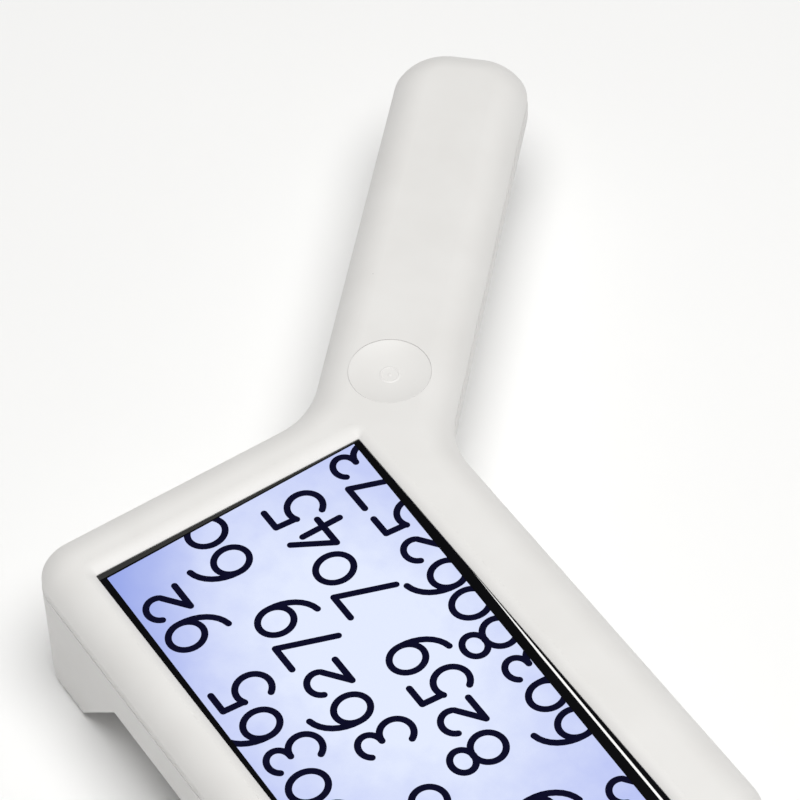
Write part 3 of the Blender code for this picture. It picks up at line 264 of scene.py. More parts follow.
X_HEIGHT = 9.0 * MM
STROKE_HALF = 0.086 * X_HEIGHT
LETTER_PITCH = 9.6 * MM
ROWS = [  # figures, baseline, right-hand end
    ("72 480365 92", 21.3 * MM, HALF_X - 9.6 * MM),
    ("258 36279 60", 3.4 * MM, HALF_X + 2.1 * MM),
    ("39 8259 7045", -14.4 * MM, HALF_X - 3.0 * MM),
    ("02 6938062573", -33.4 * MM, HALF_X + 1.2 * MM),
]

FILL = 0.16  # strength of the white surroundings
KEY_POWER = 29.0
KEY_PLACE = (178.0, 80.0, 1.7)  # azimuth, elevation, distance
KEY_AIM = Vector((0.0, 0.0, 20.0 * MM))
AIM = Vector((63.04 * MM, -47.44 * MM, 0.0))  # from the origin to the middle of the picture
CAMERA_PLACE = (147.874, 49.701, 0.8752)  # azimuth, elevation, distance
CAMERA_ROLL = math.radians(-1.914)


# ---- plan geometry

def on_handle(u, w=0.0):
    return HANDLE_ROOT + AXIS_U * u + AXIS_W * (HANDLE_SHIFT + w)


GRIP_FRAME = Matrix.Translation((*on_handle(0.0), GRIP_BOTTOM)) @ Matrix.Rotation(HANDLE_ANGLE, 4, "Z")


def line_hit(point_a, dir_a, point_b, dir_b):
    """Where two plan lines cross."""
    span = point_b - point_a
    across = dir_a.x * dir_b.y - dir_a.y * dir_b.x
    return point_a + dir_a * ((span.x * dir_b.y - span.y * dir_b.x) / across)


def rounded_loop(corners, inset):
    """Counter-clockwise outline through corners (position, radius), moved inwards by inset."""
    count = len(corners)
    points = [Vector(corner) for corner, radius in corners]
    edges = [(points[(i + 1) % count] - points[i]).normalized() for i in range(count)]
    moved = [points[i] + Vector((-edges[i].y, edges[i].x)) * inset for i in range(count)]
    loop = []
    for i in range(count):
        before = edges[i - 1]
        after = edges[i]
        corner = line_hit(moved[i - 1], before, moved[i], after)
        turn = math.atan2(before.x * after.y - before.y * after.x, before.dot(after))
        side = 1.0 if turn > 0 else -1.0
        radius = corners[i][1] - side * inset
        start = corner - before * (radius * math.tan(abs(turn) / 2))
        centre = start + Vector((-before.y, before.x)) * (radius * side)
        steps = max(3, round(abs(turn) / ARC_STEP))
        for k in range(steps + 1):
            loop.append(centre + Matrix.Rotation(turn * k / steps, 2) @ (start - centre))
    return loop


HEAD_CORNERS = [(point, HEAD_CORNER) for point in ((X_END, Y_TOP), (X_FAR, Y_TOP), (X_FAR, Y_BOTTOM))]


def case_loop(inset):
    """Outline of the head and handle together."""
    along_x = Vector((1.0, 0.0))
    along_y = Vector((0.0, 1.0))
    lower = line_hit(Vector((0.0, Y_BOTTOM)), along_x, on_handle(0.0, -HANDLE_WIDTH / 2), AXIS_U)
    upper = line_hit(Vector((X_END, 0.0)), along_y, on_handle(0.0, HANDLE_WIDTH / 2), AXIS_U)
    return rounded_loop([
        *HEAD_CORNERS,
        (lower, FILLET_LOWER),
        (on_handle(HANDLE_END, -HANDLE_WIDTH / 2), HANDLE_CORNER),
        (on_handle(HANDLE_END, HANDLE_WIDTH / 2), HANDLE_CORNER),
        (upper, FILLET_UPPER),
    ], inset)


def head_loop(inset):
    """Outline of the head alone, without the handle."""
    return rounded_loop([*HEAD_CORNERS, ((X_END, Y_BOTTOM), HEAD_CORNER)], inset)


def rectangle_loop(size_x, size_y, radius, centre=(0.0, 0.0)):
    x = size_x / 2
    y = size_y / 2
    corners = [((x, y), radius), ((-x, y), radius), ((-x, -y), radius), ((x, -y), radius)]
    return [point + Vector(centre) for point in rounded_loop(corners, 0.0)]


def fillet(points):
    """Section line through (across, height, radius) points, with its corners rounded."""
    steps = 5
    line = []
    for k, (x, z, radius) in enumerate(points):
        corner = Vector((x, z))
        if radius == 0.0:
            line.append(corner)
            continue
        back = (Vector(points[k - 1][:2]) - corner).normalized()
        on = (Vector(points[k + 1][:2]) - corner).normalized()
        half = back.angle(on) / 2
        start = corner + back * (radius / math.tan(half))
        centre = corner + (back + on).normalized() * (radius / math.sin(half))
        spoke = start - centre
        end = corner + on * (radius / math.tan(half)) - centre
        turn = math.atan2(spoke.x * end.y - spoke.y * end.x, spoke.dot(end))
        for j in range(steps + 1):
            line.append(centre + Matrix.Rotation(turn * j / steps, 2) @ spoke)
    return line


# ---- solids

def scene_object(name, data):
    obj = bpy.data.objects.new(name, data)
    bpy.context.scene.collection.objects.link(obj)
    return obj


def mesh_object(bm, name="tool"):
    bmesh.ops.recalc_face_normals(bm, faces=bm.faces)
    mesh = bpy.data.meshes.new(name)
    bm.to_mesh(mesh)
    bm.free()
    return scene_object(name, mesh)


def skin(bm, pairs):
    """Faces between pairs of closed rows of points; a row may be a single point."""
    for low, high in pairs:
        count = max(len(low), len(high))
        for k in range(count):
            after = (k + 1) % count
            face = [low[k % len(low)], low[after % len(low)], high[after % len(high)], high[k % len(high)]]
            bm.faces.new(list(dict.fromkeys(face)))


def close_rows(bm, rows):
    """Join rows of the same number of points into a closed skin, capped at both ends."""
    skin(bm, zip(rows, rows[1:]))
    bm.faces.new(list(reversed(rows[0])))
    bm.faces.new(rows[-1])


def loft(rings):
    """Closed solid through rings of (plan loop, height), capped at both ends."""
    bm = bmesh.new()
    close_rows(bm, [[bm.verts.new((*point, z)) for point in loop] for loop, z in rings])
    return mesh_object(bm)


def block(low, high, frame_matrix=None, rounding=0.0):
    """Box between two corners, with rounded edges or in another frame if those are given."""
    bm = bmesh.new()
    bmesh.ops.create_cube(bm, size=1.0)
    for vert in bm.verts:
        for axis in range(3):
            vert.co[axis] = (low[axis] + high[axis]) / 2 + vert.co[axis] * (high[axis] - low[axis])
    if rounding:
        bmesh.ops.bevel(bm, geom=bm.edges, offset=rounding, segments=3, profile=0.5, affect="EDGES")
    if frame_matrix is not None:
        bmesh.ops.transform(bm, matrix=frame_matrix, verts=bm.verts)
    return mesh_object(bm)


def turned(profile, centre, sides=SIDES):
    """Solid of revolution about a vertical axis: profile is (radius, height), from axis to axis."""
    bm = bmesh.new()
    rows = []
    for radius, z in profile:
        if radius == 0.0:
            rows.append([bm.verts.new((centre[0], centre[1], z))])
            continue
        angles = [2 * math.pi * k / sides for k in range(sides)]
        rows.append([bm.verts.new((centre[0] + radius * math.cos(angle),
                                   centre[1] + radius * math.sin(angle), z)) for angle in angles])
    skin(bm, zip(rows, rows[1:]))
    return mesh_object(bm)


def pegs(centres, radius, bottom, top):
    """Upright cylinders, one at each centre."""
    profile = [(0.0, bottom), (radius, bottom), (radius, top), (0.0, top)]
    return [turned(profile, centre, SMALL_SIDES) for centre in centres]


def side_prism(profile, y_low, y_high):
    """Solid with a profile of (x, z) points, running along Y."""
    bm = bmesh.new()
    close_rows(bm, [[bm.verts.new((x, y, z)) for x, z in profile] for y in (y_low, y_high)])
    return mesh_object(bm)


def plate(outline, low, high):
    """Closed solid with one plan outline from one height to another."""
    return loft([(outline, low), (outline, high)])


def merge(parts):
    """Join separate tools that don't touch, so that one Boolean does the work of many."""
    bm = bmesh.new()
    for part in parts:
        bm.from_mesh(part.data)
        bpy.data.objects.remove(part)
    return mesh_object(bm)


def combine(operation, target, tool):
    """Apply one Boolean to target and delete the tool."""
    modifier = target.modifiers.new(operation, "BOOLEAN")
    modifier.operation = operation
    modifier.object = tool
    graph = bpy.context.evaluated_depsgraph_get()
    graph.update()
    result = bpy.data.meshes.new_from_object(target.evaluated_get(graph))
    target.modifiers.remove(modifier)
    bm = bmesh.new()
    bm.from_mesh(result)
    bmesh.ops.remove_doubles(bm, verts=bm.verts, dist=WELD)
    bmesh.ops.dissolve_degenerate(bm, edges=bm.edges, dist=WELD)
    bm.to_mesh(result)
    bm.free()
    old = target.data
    target.data = result
    bpy.data.meshes.remove(old)
    bpy.data.objects.remove(tool)
    return target


cut = partial(combine, "DIFFERENCE")
add = partial(combine, "UNION")
keep = partial(combine, "INTERSECT")


def finish(obj, name, material, body="body", replaces=(), weighted=True):
    """Name a piece, shade it, put it in its place in the frame and let it ride on its body."""
    obj.name = name
    obj.data.name = name
    obj.data.materials.clear()
    obj.data.materials.append(material)
    obj.data.shade_smooth()
    obj.data.set_sharp_from_angle(angle=SMOOTH_ANGLE)
    if weighted:
        modifier = obj.modifiers.new("weighted_normals", "WEIGHTED_NORMAL")
        modifier.keep_sharp = True
        modifier.weight = 80
    obj.location = ORIGIN
    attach(obj, body)
    if replaces:
        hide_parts(*replaces)


# ---- materials

USUAL = (0.3, 0.7)  # span that noise values mostly keep to


class Finish:
    """A procedural material, with short ways to add nodes and link them."""

    def __init__(self, name, inputs=()):
        self.material = bpy.data.materials.new(name)
        self.material.use_nodes = True
        self.tree = self.material.node_tree
        self.shader = self.tree.nodes["Principled BSDF"]
        for key, value in dict(inputs).items():
            self.shader.inputs[key].default_value = value
        self.place = self.add("TexCoord").outputs["Object"]

    def add(self, kind, settings=(), values=(), **inputs):
        """A node with its settings made and its inputs set or linked, in order or by name."""
        node = self.tree.nodes.new("ShaderNode" + kind)
        for key, value in dict(settings).items():
            setattr(node, key, value)
        for socket, value in zip(node.inputs, values):
            self.feed(socket, value)
        for key, value in inputs.items():
            self.feed(node.inputs[key], value)
        return node

    def feed(self, socket, value):
        if isinstance(value, bpy.types.NodeSocket):
            self.tree.links.new(value, socket)
        else:
            socket.default_value = value

    def noise(self, size, detail=2.0, stretch=(1.0, 1.0, 1.0)):
        """Noise from 0 to 1 whose features are about that size in metres."""
        mapping = self.add("Mapping", Vector=self.place, Scale=stretch)
        return self.add("TexNoise", Vector=mapping.outputs["Vector"], Scale=1.0 / size,
                        Detail=detail).outputs["Fac"]

    def cells(self, size, feature="F1", distance="EUCLIDEAN"):
        return self.add("TexVoronoi", {"feature": feature, "distance": distance},
                        Vector=self.place, Scale=1.0 / size).outputs["Distance"]

    def stripes(self, direction, scale):
        return self.add("TexWave", {"bands_direction": direction},
                        Vector=self.place, Scale=scale).outputs["Fac"]

    def calculate(self, operation, *values):
        return self.add("Math", {"operation": operation}, values).outputs[0]

    def spread(self, value, low, high, to_low=0.0, to_high=1.0):
        """Rescale a value from one span to another, clamped."""
        return self.add("MapRange", values=(value, low, high, to_low, to_high)).outputs["Result"]

    def blend(self, factor, first, second):
        node = self.add("Mix", {"data_type": "RGBA"})
        colours = [socket for socket in node.inputs if socket.type == "RGBA"]
        self.feed(node.inputs[0], factor)
        for socket, colour in zip(colours, (first, second)):
            self.feed(socket, colour if isinstance(colour, bpy.types.NodeSocket) else (*colour, 1.0))
        return [socket for socket in node.outputs if socket.type == "RGBA"][0]

    def bump(self, height, depth, under=None):
        """Bump of a real depth in metres."""
        node = self.add("Bump", Height=height, Distance=depth, Strength=1.0)
        if under is not None:
            self.feed(node.inputs["Normal"], under)
        return node.outputs["Normal"]

    def coat(self, colour=None, roughness=None, normal=None):
        for name, value in (("Base Color", colour), ("Roughness", roughness), ("Normal", normal)):
            if value is not None:
                self.feed(self.shader.inputs[name], value)
        return self.material


def moulded_plastic(name, light, dark, roughness, specular=0.5):
    """Spark-textured moulded plastic: fine grain, slow tone changes, a few tiny specks."""
    look = Finish(name, {"Specular IOR Level": specular})
    tone = look.spread(look.noise(16.0 * MM, 3.0), *USUAL)
    colour = look.blend(tone, dark, light)
    specks = look.spread(look.cells(11.0 * MM), 0.006, 0.012)
    colour = look.blend(specks, tuple(0.45 * channel for channel in light), colour)
    rough = look.spread(look.noise(5.0 * MM, 4.0), *USUAL, roughness - 0.03, roughness + 0.04)
    waves = look.bump(look.noise(9.0 * MM, 1.0), 0.012 * MM)
    grained = look.bump(look.noise(0.16 * MM, 2.0), 0.0012 * MM, waves)
    return look.coat(colour, rough, grained)


def brushed_metal(name, light, dark, roughness):
    look = Finish(name, {"Metallic": 1.0})
    lines = look.noise(0.9 * MM, 6.0, (1.0, 14.0, 1.0))
    colour = look.blend(lines, dark, light)
    rough = look.spread(lines, *USUAL, roughness - 0.06, roughness + 0.1)
    return look.coat(colour, rough, look.bump(lines, 0.004 * MM))


def circuit_board(name):
    """Green solder mask over copper tracks, with small bare pads."""
    look = Finish(name)
    tracks = look.spread(look.cells(3.2 * MM, "F2", "CHEBYCHEV"), 0.44, 0.5)
    mask = look.blend(tracks, (0.015, 0.11, 0.045), (0.03, 0.2, 0.09))
    pads = look.spread(look.cells(2.4 * MM), 0.16, 0.19)
    colour = look.blend(pads, (0.72, 0.66, 0.45), mask)
    look.feed(look.shader.inputs["Metallic"], look.spread(pads, 0.0, 1.0, 0.9, 0.0))
    return look.coat(colour, look.spread(look.noise(1.5 * MM), *USUAL, 0.32, 0.44),
                     look.bump(tracks, 0.03 * MM))


def chip_package(name):
    look = Finish(name)
    grain = look.noise(0.2 * MM, 3.0)
    return look.coat(look.blend(grain, (0.018, 0.018, 0.02), (0.04, 0.04, 0.043)),
                     look.spread(grain, *USUAL, 0.38, 0.55), look.bump(grain, 0.004 * MM))


def clear_plastic(name, tint):
    """Clear window with a hard coat: slight ripples and a faint haze."""
    look = Finish(name, {"Transmission Weight": 0.92, "IOR": 1.49})
    haze = look.noise(3.0 * MM, 3.0)
    return look.coat(look.blend(haze, tint, (0.97, 0.98, 1.0)),
                     look.spread(haze, *USUAL, 0.03, 0.09),
                     look.bump(look.noise(6.0 * MM, 1.0), 0.006 * MM))


def frosted_plastic(name):
    """Milky light diffuser with fine ribs across it."""
    look = Finish(name, {"Transmission Weight": 0.25, "Subsurface Weight": 0.3,
                         "Subsurface Radius": (MM, MM, MM)})
    ribs = look.stripes("Y", 1.0 / (3.2 * MM))
    grain = look.noise(0.8 * MM, 2.0)
    return look.coat(look.blend(grain, (0.80, 0.81, 0.79), (0.88, 0.88, 0.85)),
                     look.spread(grain, *USUAL, 0.42, 0.56), look.bump(ribs, 0.05 * MM))


def film(name, light, dark, ridge=0.7 * MM):
    """Flat conductors or printed wrap under a thin film."""
    look = Finish(name)
    stripes = look.stripes("X", 1.0 / (10.0 * ridge))
    cloud = look.noise(4.0 * MM, 3.0)
    return look.coat(look.blend(stripes, dark, light),
                     look.spread(cloud, *USUAL, 0.28, 0.48), look.bump(stripes, 0.03 * MM))


def rubber(name):
    look = Finish(name)
    grain = look.noise(0.25 * MM, 4.0)
    dust = look.spread(look.noise(2.5 * MM, 5.0), 0.52, 0.75)
    colour = look.blend(dust, (0.025, 0.025, 0.026), (0.075, 0.073, 0.07))
    return look.coat(colour, look.spread(grain, *USUAL, 0.62, 0.82), look.bump(grain, 0.02 * MM))


def insulation(name, light, dark):
    look = Finish(name)
    cloud = look.noise(2.0 * MM, 3.0)
    return look.coat(look.blend(cloud, dark, light), look.spread(cloud, *USUAL, 0.34, 0.46),
                     look.bump(look.noise(0.3 * MM), 0.003 * MM))


def lit_display(name):
    """Backlit panel: brightest in the middle, bluer at its edges, mottled, with a fine pixel grid."""
    look = Finish(name, {"Roughness": 0.34, "Base Color": (0.012, 0.012, 0.016, 1.0),
                         "Specular IOR Level": 0.25, "Emission Strength": 1.0})
    split = look.add("SeparateXYZ", Vector=look.place)
    across = split.outputs["X"]
    along = split.outputs["Y"]
    span = look.add("Mapping", Vector=look.place,
                    Location=(-GLOW_CENTRE[0] / GLOW_REACH[0], -GLOW_CENTRE[1] / GLOW_REACH[1], 0.0),
                    Scale=(1.0 / GLOW_REACH[0], 1.0 / GLOW_REACH[1], 0.0))
    reach = look.add("VectorMath", {"operation": "LENGTH"}, (span.outputs["Vector"],))
    mottle = look.spread(look.noise(5.0 * MM, 5.0), 0.25, 0.75, -0.09, 0.09)
    glow = look.spread(look.calculate("ADD", reach.outputs["Value"], mottle), 0.35, 1.15)
    colour = look.blend(glow, GLOW_MIDDLE, GLOW_EDGE)
    corner = look.calculate("ADD", look.spread(across, 0.0, HALF_X), look.spread(along, 0.0, HALF_Y))
    colour = look.blend(look.spread(corner, 1.2, 2.0), colour, GLOW_CORNER)
    for source in (across, along):
        wave = look.calculate("MULTIPLY", source, 2 * math.pi / PIXEL_PITCH)
        line = look.spread(look.calculate("SINE", wave), 0.6, 1.0, 0.0, 0.10)
        colour = look.blend(line, colour, PIXEL_LINE)
    look.feed(look.shader.inputs["Emission Color"], colour)
    return look.coat(normal=look.bump(look.noise(0.4 * MM), 0.002 * MM))


def displayed_ink(name):
    """Dark figures on the panel: navy, a little light leaking through unevenly."""
    look = Finish(name, {"Roughness": 0.34, "Specular IOR Level": 0.02, "Emission Strength": 1.0})
    leak = look.noise(2.2 * MM, 3.0)
    look.feed(look.shader.inputs["Emission Color"],
              look.blend(leak, (0.001, 0.001, 0.010), (0.004, 0.004, 0.024)))
    return look.coat(colour=look.blend(leak, (0.001, 0.001, 0.002), (0.002, 0.002, 0.003)))


def pale_floor(name):
    look = Finish(name)
    cloud = look.noise(0.12, 2.0)
    return look.coat(look.blend(cloud, (0.955, 0.955, 0.955), (0.975, 0.975, 0.975)),
                     look.spread(cloud, *USUAL, 0.75, 0.85))


# ---- front cover

def shoulder(inset):
    """Height of the cover's rounded shoulder at a distance in from its outer wall."""
    half_angle = math.atan2(EDGE_DROP, EDGE_WIDTH)
    radius = EDGE_WIDTH / math.sin(2 * half_angle)
    across = EDGE_WIDTH - inset
    return math.sqrt(radius * radius - across * across) - radius


def cover_section():
    """(inset, height) of the cover's outside, from its lower rim up to the flat top."""
    edge = 2 * EDGE_ROUNDING
    section = fillet([
        (COVER_WALL, COVER_BOTTOM, 0.0),
        (0.0, COVER_BOTTOM, LIP_ROUNDING),
        (0.0, -EDGE_DROP, EDGE_ROUNDING),
        (edge, shoulder(edge), 0.0),
    ])[1:]
    steps = 14
    for k in range(1, steps + 1):
        inset = edge + (EDGE_WIDTH - edge) * k / steps
        section.append(Vector((inset, shoulder(inset))))
    return section


def dish_rings():
    """The opening itself, its chamfer, and the soft hollow that runs down to it, lowest ring first."""
    window = rectangle_loop(*OPENING, WINDOW_CORNER)
    rings = [(window, COVER_BOTTOM - OVER), (window, CHAMFER_BOTTOM)]
    steps = 8
    for k in range(steps + 1):
        share = k / steps
        reach_x = CHAMFER_WIDTH + (DISH_END - CHAMFER_WIDTH) * share
        reach_y = CHAMFER_WIDTH + (DISH_SIDE - CHAMFER_WIDTH) * share
        radius = CHAMFER_CORNER + (DISH_CORNER - CHAMFER_CORNER) * share
        loop = rectangle_loop(OPENING[0] + 2 * reach_x, OPENING[1] + 2 * reach_y, radius)
        rings.append((loop, -DISH_DEPTH * (1 - share) ** 2))
    rings.append((rings[-1][0], OVER))
    return rings


def make_front_cover(plastic):
    cover = loft([(case_loop(point.x), point.y) for point in cover_section()])
    cut(cover, loft([(case_loop(inset), height) for inset, height in COVER_HOLLOW]))
    add(cover, merge(pegs(CASE_SCREWS, BOSS, SPLIT, -COVER_THICKNESS + PLAY)))
    cut(cover, merge(pegs(CASE_SCREWS, SCREW_SHANK + PLAY, SPLIT - OVER, PILOT_TOP)))
    cut(cover, loft(dish_rings()))
    edge = 0.08 * MM
    hole = fillet([
        (BUTTON_FLANGE + PLAY, COVER_BOTTOM - OVER, 0.0),
        (BUTTON_FLANGE + PLAY, -COVER_THICKNESS, 0.0),
        (BUTTON_HOLE, -COVER_THICKNESS, 0.0),
        (BUTTON_HOLE, -edge, 0.0),
        (BUTTON_HOLE + edge, edge, 0.0),
        (BUTTON_HOLE + edge, OVER, 0.0),
    ])
    profile = [(0.0, COVER_BOTTOM - OVER), *hole, (0.0, OVER)]
    cut(cover, turned(profile, on_handle(BUTTON_U)))
    finish(cover, "front_cover_shell", plastic, replaces=["front_cover"])


# ---- rear housing and its feet

def underside_rings(loop, inset, bottom, radius, steps):
    """Rings of a rounded bottom edge, lowest first."""
    angles = [math.pi / 2 * k / steps for k in range(steps + 1)]
    return [(loop(inset + radius * (1 - math.sin(angle))), bottom + radius * (1 - math.cos(angle)))
            for angle in angles]


def foot_slope(offset):
    """Profile (x, z) of the space between the feet, widened by offset, from below the feet upwards."""
    slope = FOOT_SLOPE_RUN / (HOUSING_BOTTOM - FOOT_BOTTOM)
    low = FOOT_BOTTOM - 2 * OVER
    high = FOOT_TOP + 4 * OVER
    low_run = FOOT_FLAT - offset - (FOOT_BOTTOM - low) * slope
    high_run = FOOT_FLAT - offset + (high - FOOT_BOTTOM) * slope
    return [(X_FAR + low_run, low), (X_END - low_run, low),
            (X_END - high_run, high), (X_FAR + high_run, high)]


def lower_shell():
    """Outer form of the housing in the head and handle, without the feet."""
    rings = underside_rings(case_loop, HOUSING_STEP, GRIP_BOTTOM, GRIP_RADIUS, 12)
    corner = fillet([
        (HOUSING_STEP, GRIP_BOTTOM, 0.0),
        (HOUSING_STEP, HOUSING_TOP, HOUSING_TOP_ROUNDING),
        (TONGUE_OUT, HOUSING_TOP, 0.0),
        (TONGUE_OUT, TONGUE_TOP, 0.0),
    ])[1:]
    rings += [(case_loop(point.x), point.y) for point in corner]
    shell = loft(rings)
    head = underside_rings(head_loop, HOUSING_STEP, HOUSING_BOTTOM, HEAD_EDGE_RADIUS, 6)
    head.append((head_loop(HOUSING_STEP), HOUSING_TOP - OVER))
    return add(shell, loft(head))


def feet(inset, bottom, slope_offset, top):
    """Both feet as one tool: the head's outline, cut away where the page is read."""
    rings = underside_rings(head_loop, inset, bottom, FOOT_RADIUS, 5)
    rings.append((head_loop(inset), top))
    past = 2 * OPENING[1]
    return cut(loft(rings), side_prism(foot_slope(slope_offset), -past, past))


def door_zone(high, start):
    """Slab over the handle's underside, from a distance along the handle to past its tip."""
    return block((start, -HANDLE_WIDTH, -HANDLE_WIDTH),
                 (HANDLE_END + HANDLE_WIDTH, HANDLE_WIDTH, high), GRIP_FRAME)


def make_rear_housing(plastic):
    housing = lower_shell()
    add(housing, feet(HOUSING_STEP, FOOT_BOTTOM, 0.0, FOOT_TOP))
    cut(housing, loft([
        (case_loop(GRIP_WALL), GRIP_INNER_FLOOR),
        (case_loop(GRIP_WALL), TONGUE_ROOT),
        (case_loop(TONGUE_IN), TONGUE_ROOT + TONGUE_STEP),
        (case_loop(TONGUE_IN), TONGUE_TOP + OVER),
    ]))
    cut(housing, plate(head_loop(HEAD_HOLLOW_INSET), INNER_FLOOR, GRIP_INNER_FLOOR + OVER))
    cut(housing, feet(FOOT_WALL, FOOT_FLOOR, FOOT_SLOPE_WALL, INNER_FLOOR + OVER))
    add_columns(housing)
    cut_handle_bay(housing)
    cut_floor_windows(housing)
    cut_screw_holes(housing)
    finish(housing, "rear_housing_shell", plastic, replaces=["rear_housing"])


def add_columns(housing):
    """Screw columns and the posts that the circuit boards stand on."""
    top = SPLIT - PLAY
    columns = pegs(CASE_SCREWS[:4], COLUMN, FOOT_FLOOR - OVER, top)
    columns += pegs(CASE_SCREWS[4:6], COLUMN, INNER_FLOOR - OVER, top)
    columns += pegs(CASE_SCREWS[6:], GRIP_COLUMN, GRIP_INNER_FLOOR - OVER, top)
    columns += pegs(BOARD_SCREWS, BOARD_POST, INNER_FLOOR - OVER, BOARD_BOTTOM - PLAY)
    for board in ("light_board_left", "light_board_right"):
        low, high = local_box(board)
        x = (low.x + high.x) / 2
        ends = [(x, low.y + LIGHT_POST_INSET), (x, high.y - LIGHT_POST_INSET)]
        columns += pegs(ends, LIGHT_POST, INNER_FLOOR - OVER, low.z - PLAY)
    sides = [on_handle(BUTTON_U, w) for w in (-SWITCH_POST_W, SWITCH_POST_W)]
    columns += pegs(sides, SWITCH_POST, GRIP_INNER_FLOOR - OVER,
                    local_box("switch_board")[0].z - PLAY)
    add(housing, merge(columns))


def cut_handle_bay(housing):
    """Battery compartment: recess for the sliding cover, latch slot and opening for the pack."""
    cut(housing, door_zone(DOOR_THICKNESS + PLAY, DOOR_START - DOOR_GAP))
    half = BAY_WIDTH / 2
    cut(housing, block((BAY_START, -half, 0.0), (BAY_END, half, BAY_TOP), GRIP_FRAME))
    latch = LATCH_WIDTH / 2 + PLAY
    cut(housing, block((DOOR_START - LATCH_REACH - PLAY, -latch, LATCH_LEVELS[0] - PLAY),
                       (DOOR_START, latch, LATCH_LEVELS[1] + PLAY), GRIP_FRAME))


def cut_floor_windows(housing):
    """Windows in the floor for the camera and the light bars, and the charging socket's hole."""
    above = INNER_FLOOR + 2 * OVER
    below = HOUSING_BOTTOM - 2 * OVER
    lead_in = 0.4 * MM
    profile = [
        (0.0, below),
        (CAMERA_HOLE + lead_in, below),
        (CAMERA_HOLE + lead_in, HOUSING_BOTTOM),
        (CAMERA_HOLE, HOUSING_BOTTOM + lead_in),
        (CAMERA_HOLE, WINDOW_SEAT),
        (CAMERA_SEAT, WINDOW_SEAT),
        (CAMERA_SEAT, above),
        (0.0, above),
    ]
    tools = [turned(profile, (0.0, 0.0))]
    for name in ("light_diffuser_left", "light_diffuser_right"):
        centre = node_centre(name)
        slot = rectangle_loop(*LIGHT_SLOT, LIGHT_CORNER, centre)
        seat = rectangle_loop(*LIGHT_SEAT, LIGHT_CORNER, centre)
        flare = rectangle_loop(LIGHT_SLOT[0] + 2 * lead_in, LIGHT_SLOT[1] + 2 * lead_in,
                               LIGHT_CORNER + lead_in, centre)
        tools.append(loft([
            (flare, below), (flare, HOUSING_BOTTOM), (slot, HOUSING_BOTTOM + lead_in), (slot, WINDOW_SEAT),
            (seat, WINDOW_SEAT), (seat, above),
        ]))
    grow = Vector((0.0, PLAY, PLAY))
    low, high = local_box("charge_socket")
    tools.append(end_prism(low - grow, high + grow, SOCKET_CORNER + PLAY,
                           X_END - 3 * WALL, X_END + 3 * WALL))
    cut(housing, merge(tools))


def end_prism(low, high, radius, x_low, x_high):
    """Rounded bar along X; its (y, z) outline fills the box between two corners."""
    outline = rectangle_loop(high.y - low.y, high.z - low.z, radius,
                             ((low.y + high.y) / 2, (low.z + high.z) / 2))
    bar = plate(outline, x_low, x_high)
    bar.data.transform(Matrix(((0, 0, 1, 0), (1, 0, 0, 0), (0, 1, 0, 0), (0, 0, 0, 1))))
    return bar


def cut_screw_holes(housing):
    """Stepped holes for the case screws, blind holes for the board screws, recesses for the pads."""
    head = SCREW_HEAD + 0.5 * MM
    shank = SCREW_SHANK + PLAY
    pad = PAD_RADIUS + 2 * PLAY
    below = FOOT_BOTTOM - OVER
    above = TONGUE_TOP + OVER
    tools = []
    for number, centre in enumerate(CASE_SCREWS):
        profile = [(0.0, below), (head, below)]
        if number < len(PADS):
            profile = [(0.0, below), (pad, below), (pad, PAD_SEAT), (head, PAD_SEAT)]
        profile += [(head, SCREW_SEAT), (shank, SCREW_SEAT), (shank, above), (0.0, above)]
        tools.append(turned(profile, centre, SMALL_SIDES))
    tools += pegs(BOARD_SCREWS, BOARD_PILOT, BOARD_BOTTOM - BOARD_SCREW_LENGTH, above)
    cut(housing, merge(tools))


def make_foot_pads(material):
    """Round rubber pads with a ribbed underside."""
    bottom = FLOOR - ORIGIN.z
    rounding = 0.5 * MM
    groove = 0.16 * MM
    pitch = 1.1 * MM
    section = []
    for k in range(1, 4):
        radius = k * pitch
        section += [(radius - groove, bottom), (radius, bottom + groove), (radius + groove, bottom)]
    outline = fillet([
        (4 * groove, bottom, 0.0),
        (PAD_RADIUS, bottom, rounding),
        (PAD_RADIUS, PAD_SEAT - PLAY, 0.0),
        (0.0, PAD_SEAT - PLAY, 0.0),
    ])
    profile = [(0.0, bottom), *section, *outline[1:]]
    for number, centre in enumerate(PADS, 1):
        finish(turned(profile, centre), f"foot_pad_{number}_ribbed", material,
               replaces=[f"foot_pad_{number}"])


def make_case_screws(material):
    """Pan-head screws with a cross recess, seen at the bottom of their holes."""
    seat = SCREW_SEAT - PLAY
    under = seat - SCREW_HEAD_HEIGHT
    profile = fillet([
        (0.0, under, 0.0),
        (SCREW_HEAD, under, SCREW_ROUNDING),
        (SCREW_HEAD, seat, 0.0),
    ])
    threads = 9
    pitch = (SCREW_REACH - PLAY) / threads
    profile.append((SCREW_SHANK, seat))
    for k in range(threads):
        profile.append((SCREW_SHANK, seat + pitch * (k + 0.5)))
        profile.append((0.8 * SCREW_SHANK, seat + pitch * (k + 1.0)))
    profile.append((0.0, seat + SCREW_REACH + SCREW_TIP))
    long_half = 0.62 * SCREW_HEAD
    wide_half = 0.17 * SCREW_HEAD
    deep = under + CROSS_DEPTH
    less = deep - 0.01 * MM  # so that the two arms share no face
    for number, centre in enumerate(CASE_SCREWS, 1):
        screw = turned(profile, centre, SMALL_SIDES)
        turn = Matrix.Translation((centre.x, centre.y, 0.0)) @ Matrix.Rotation(number, 4, "Z")
        arms = block((-long_half, -wide_half, under - OVER), (long_half, wide_half, deep), turn)
        add(arms, block((-wide_half, -long_half, under - OVER), (wide_half, long_half, less), turn))
        cut(screw, arms)
        finish(screw, f"case_screw_{number}_crosshead", material,
               replaces=[f"case_screw_{number}"])


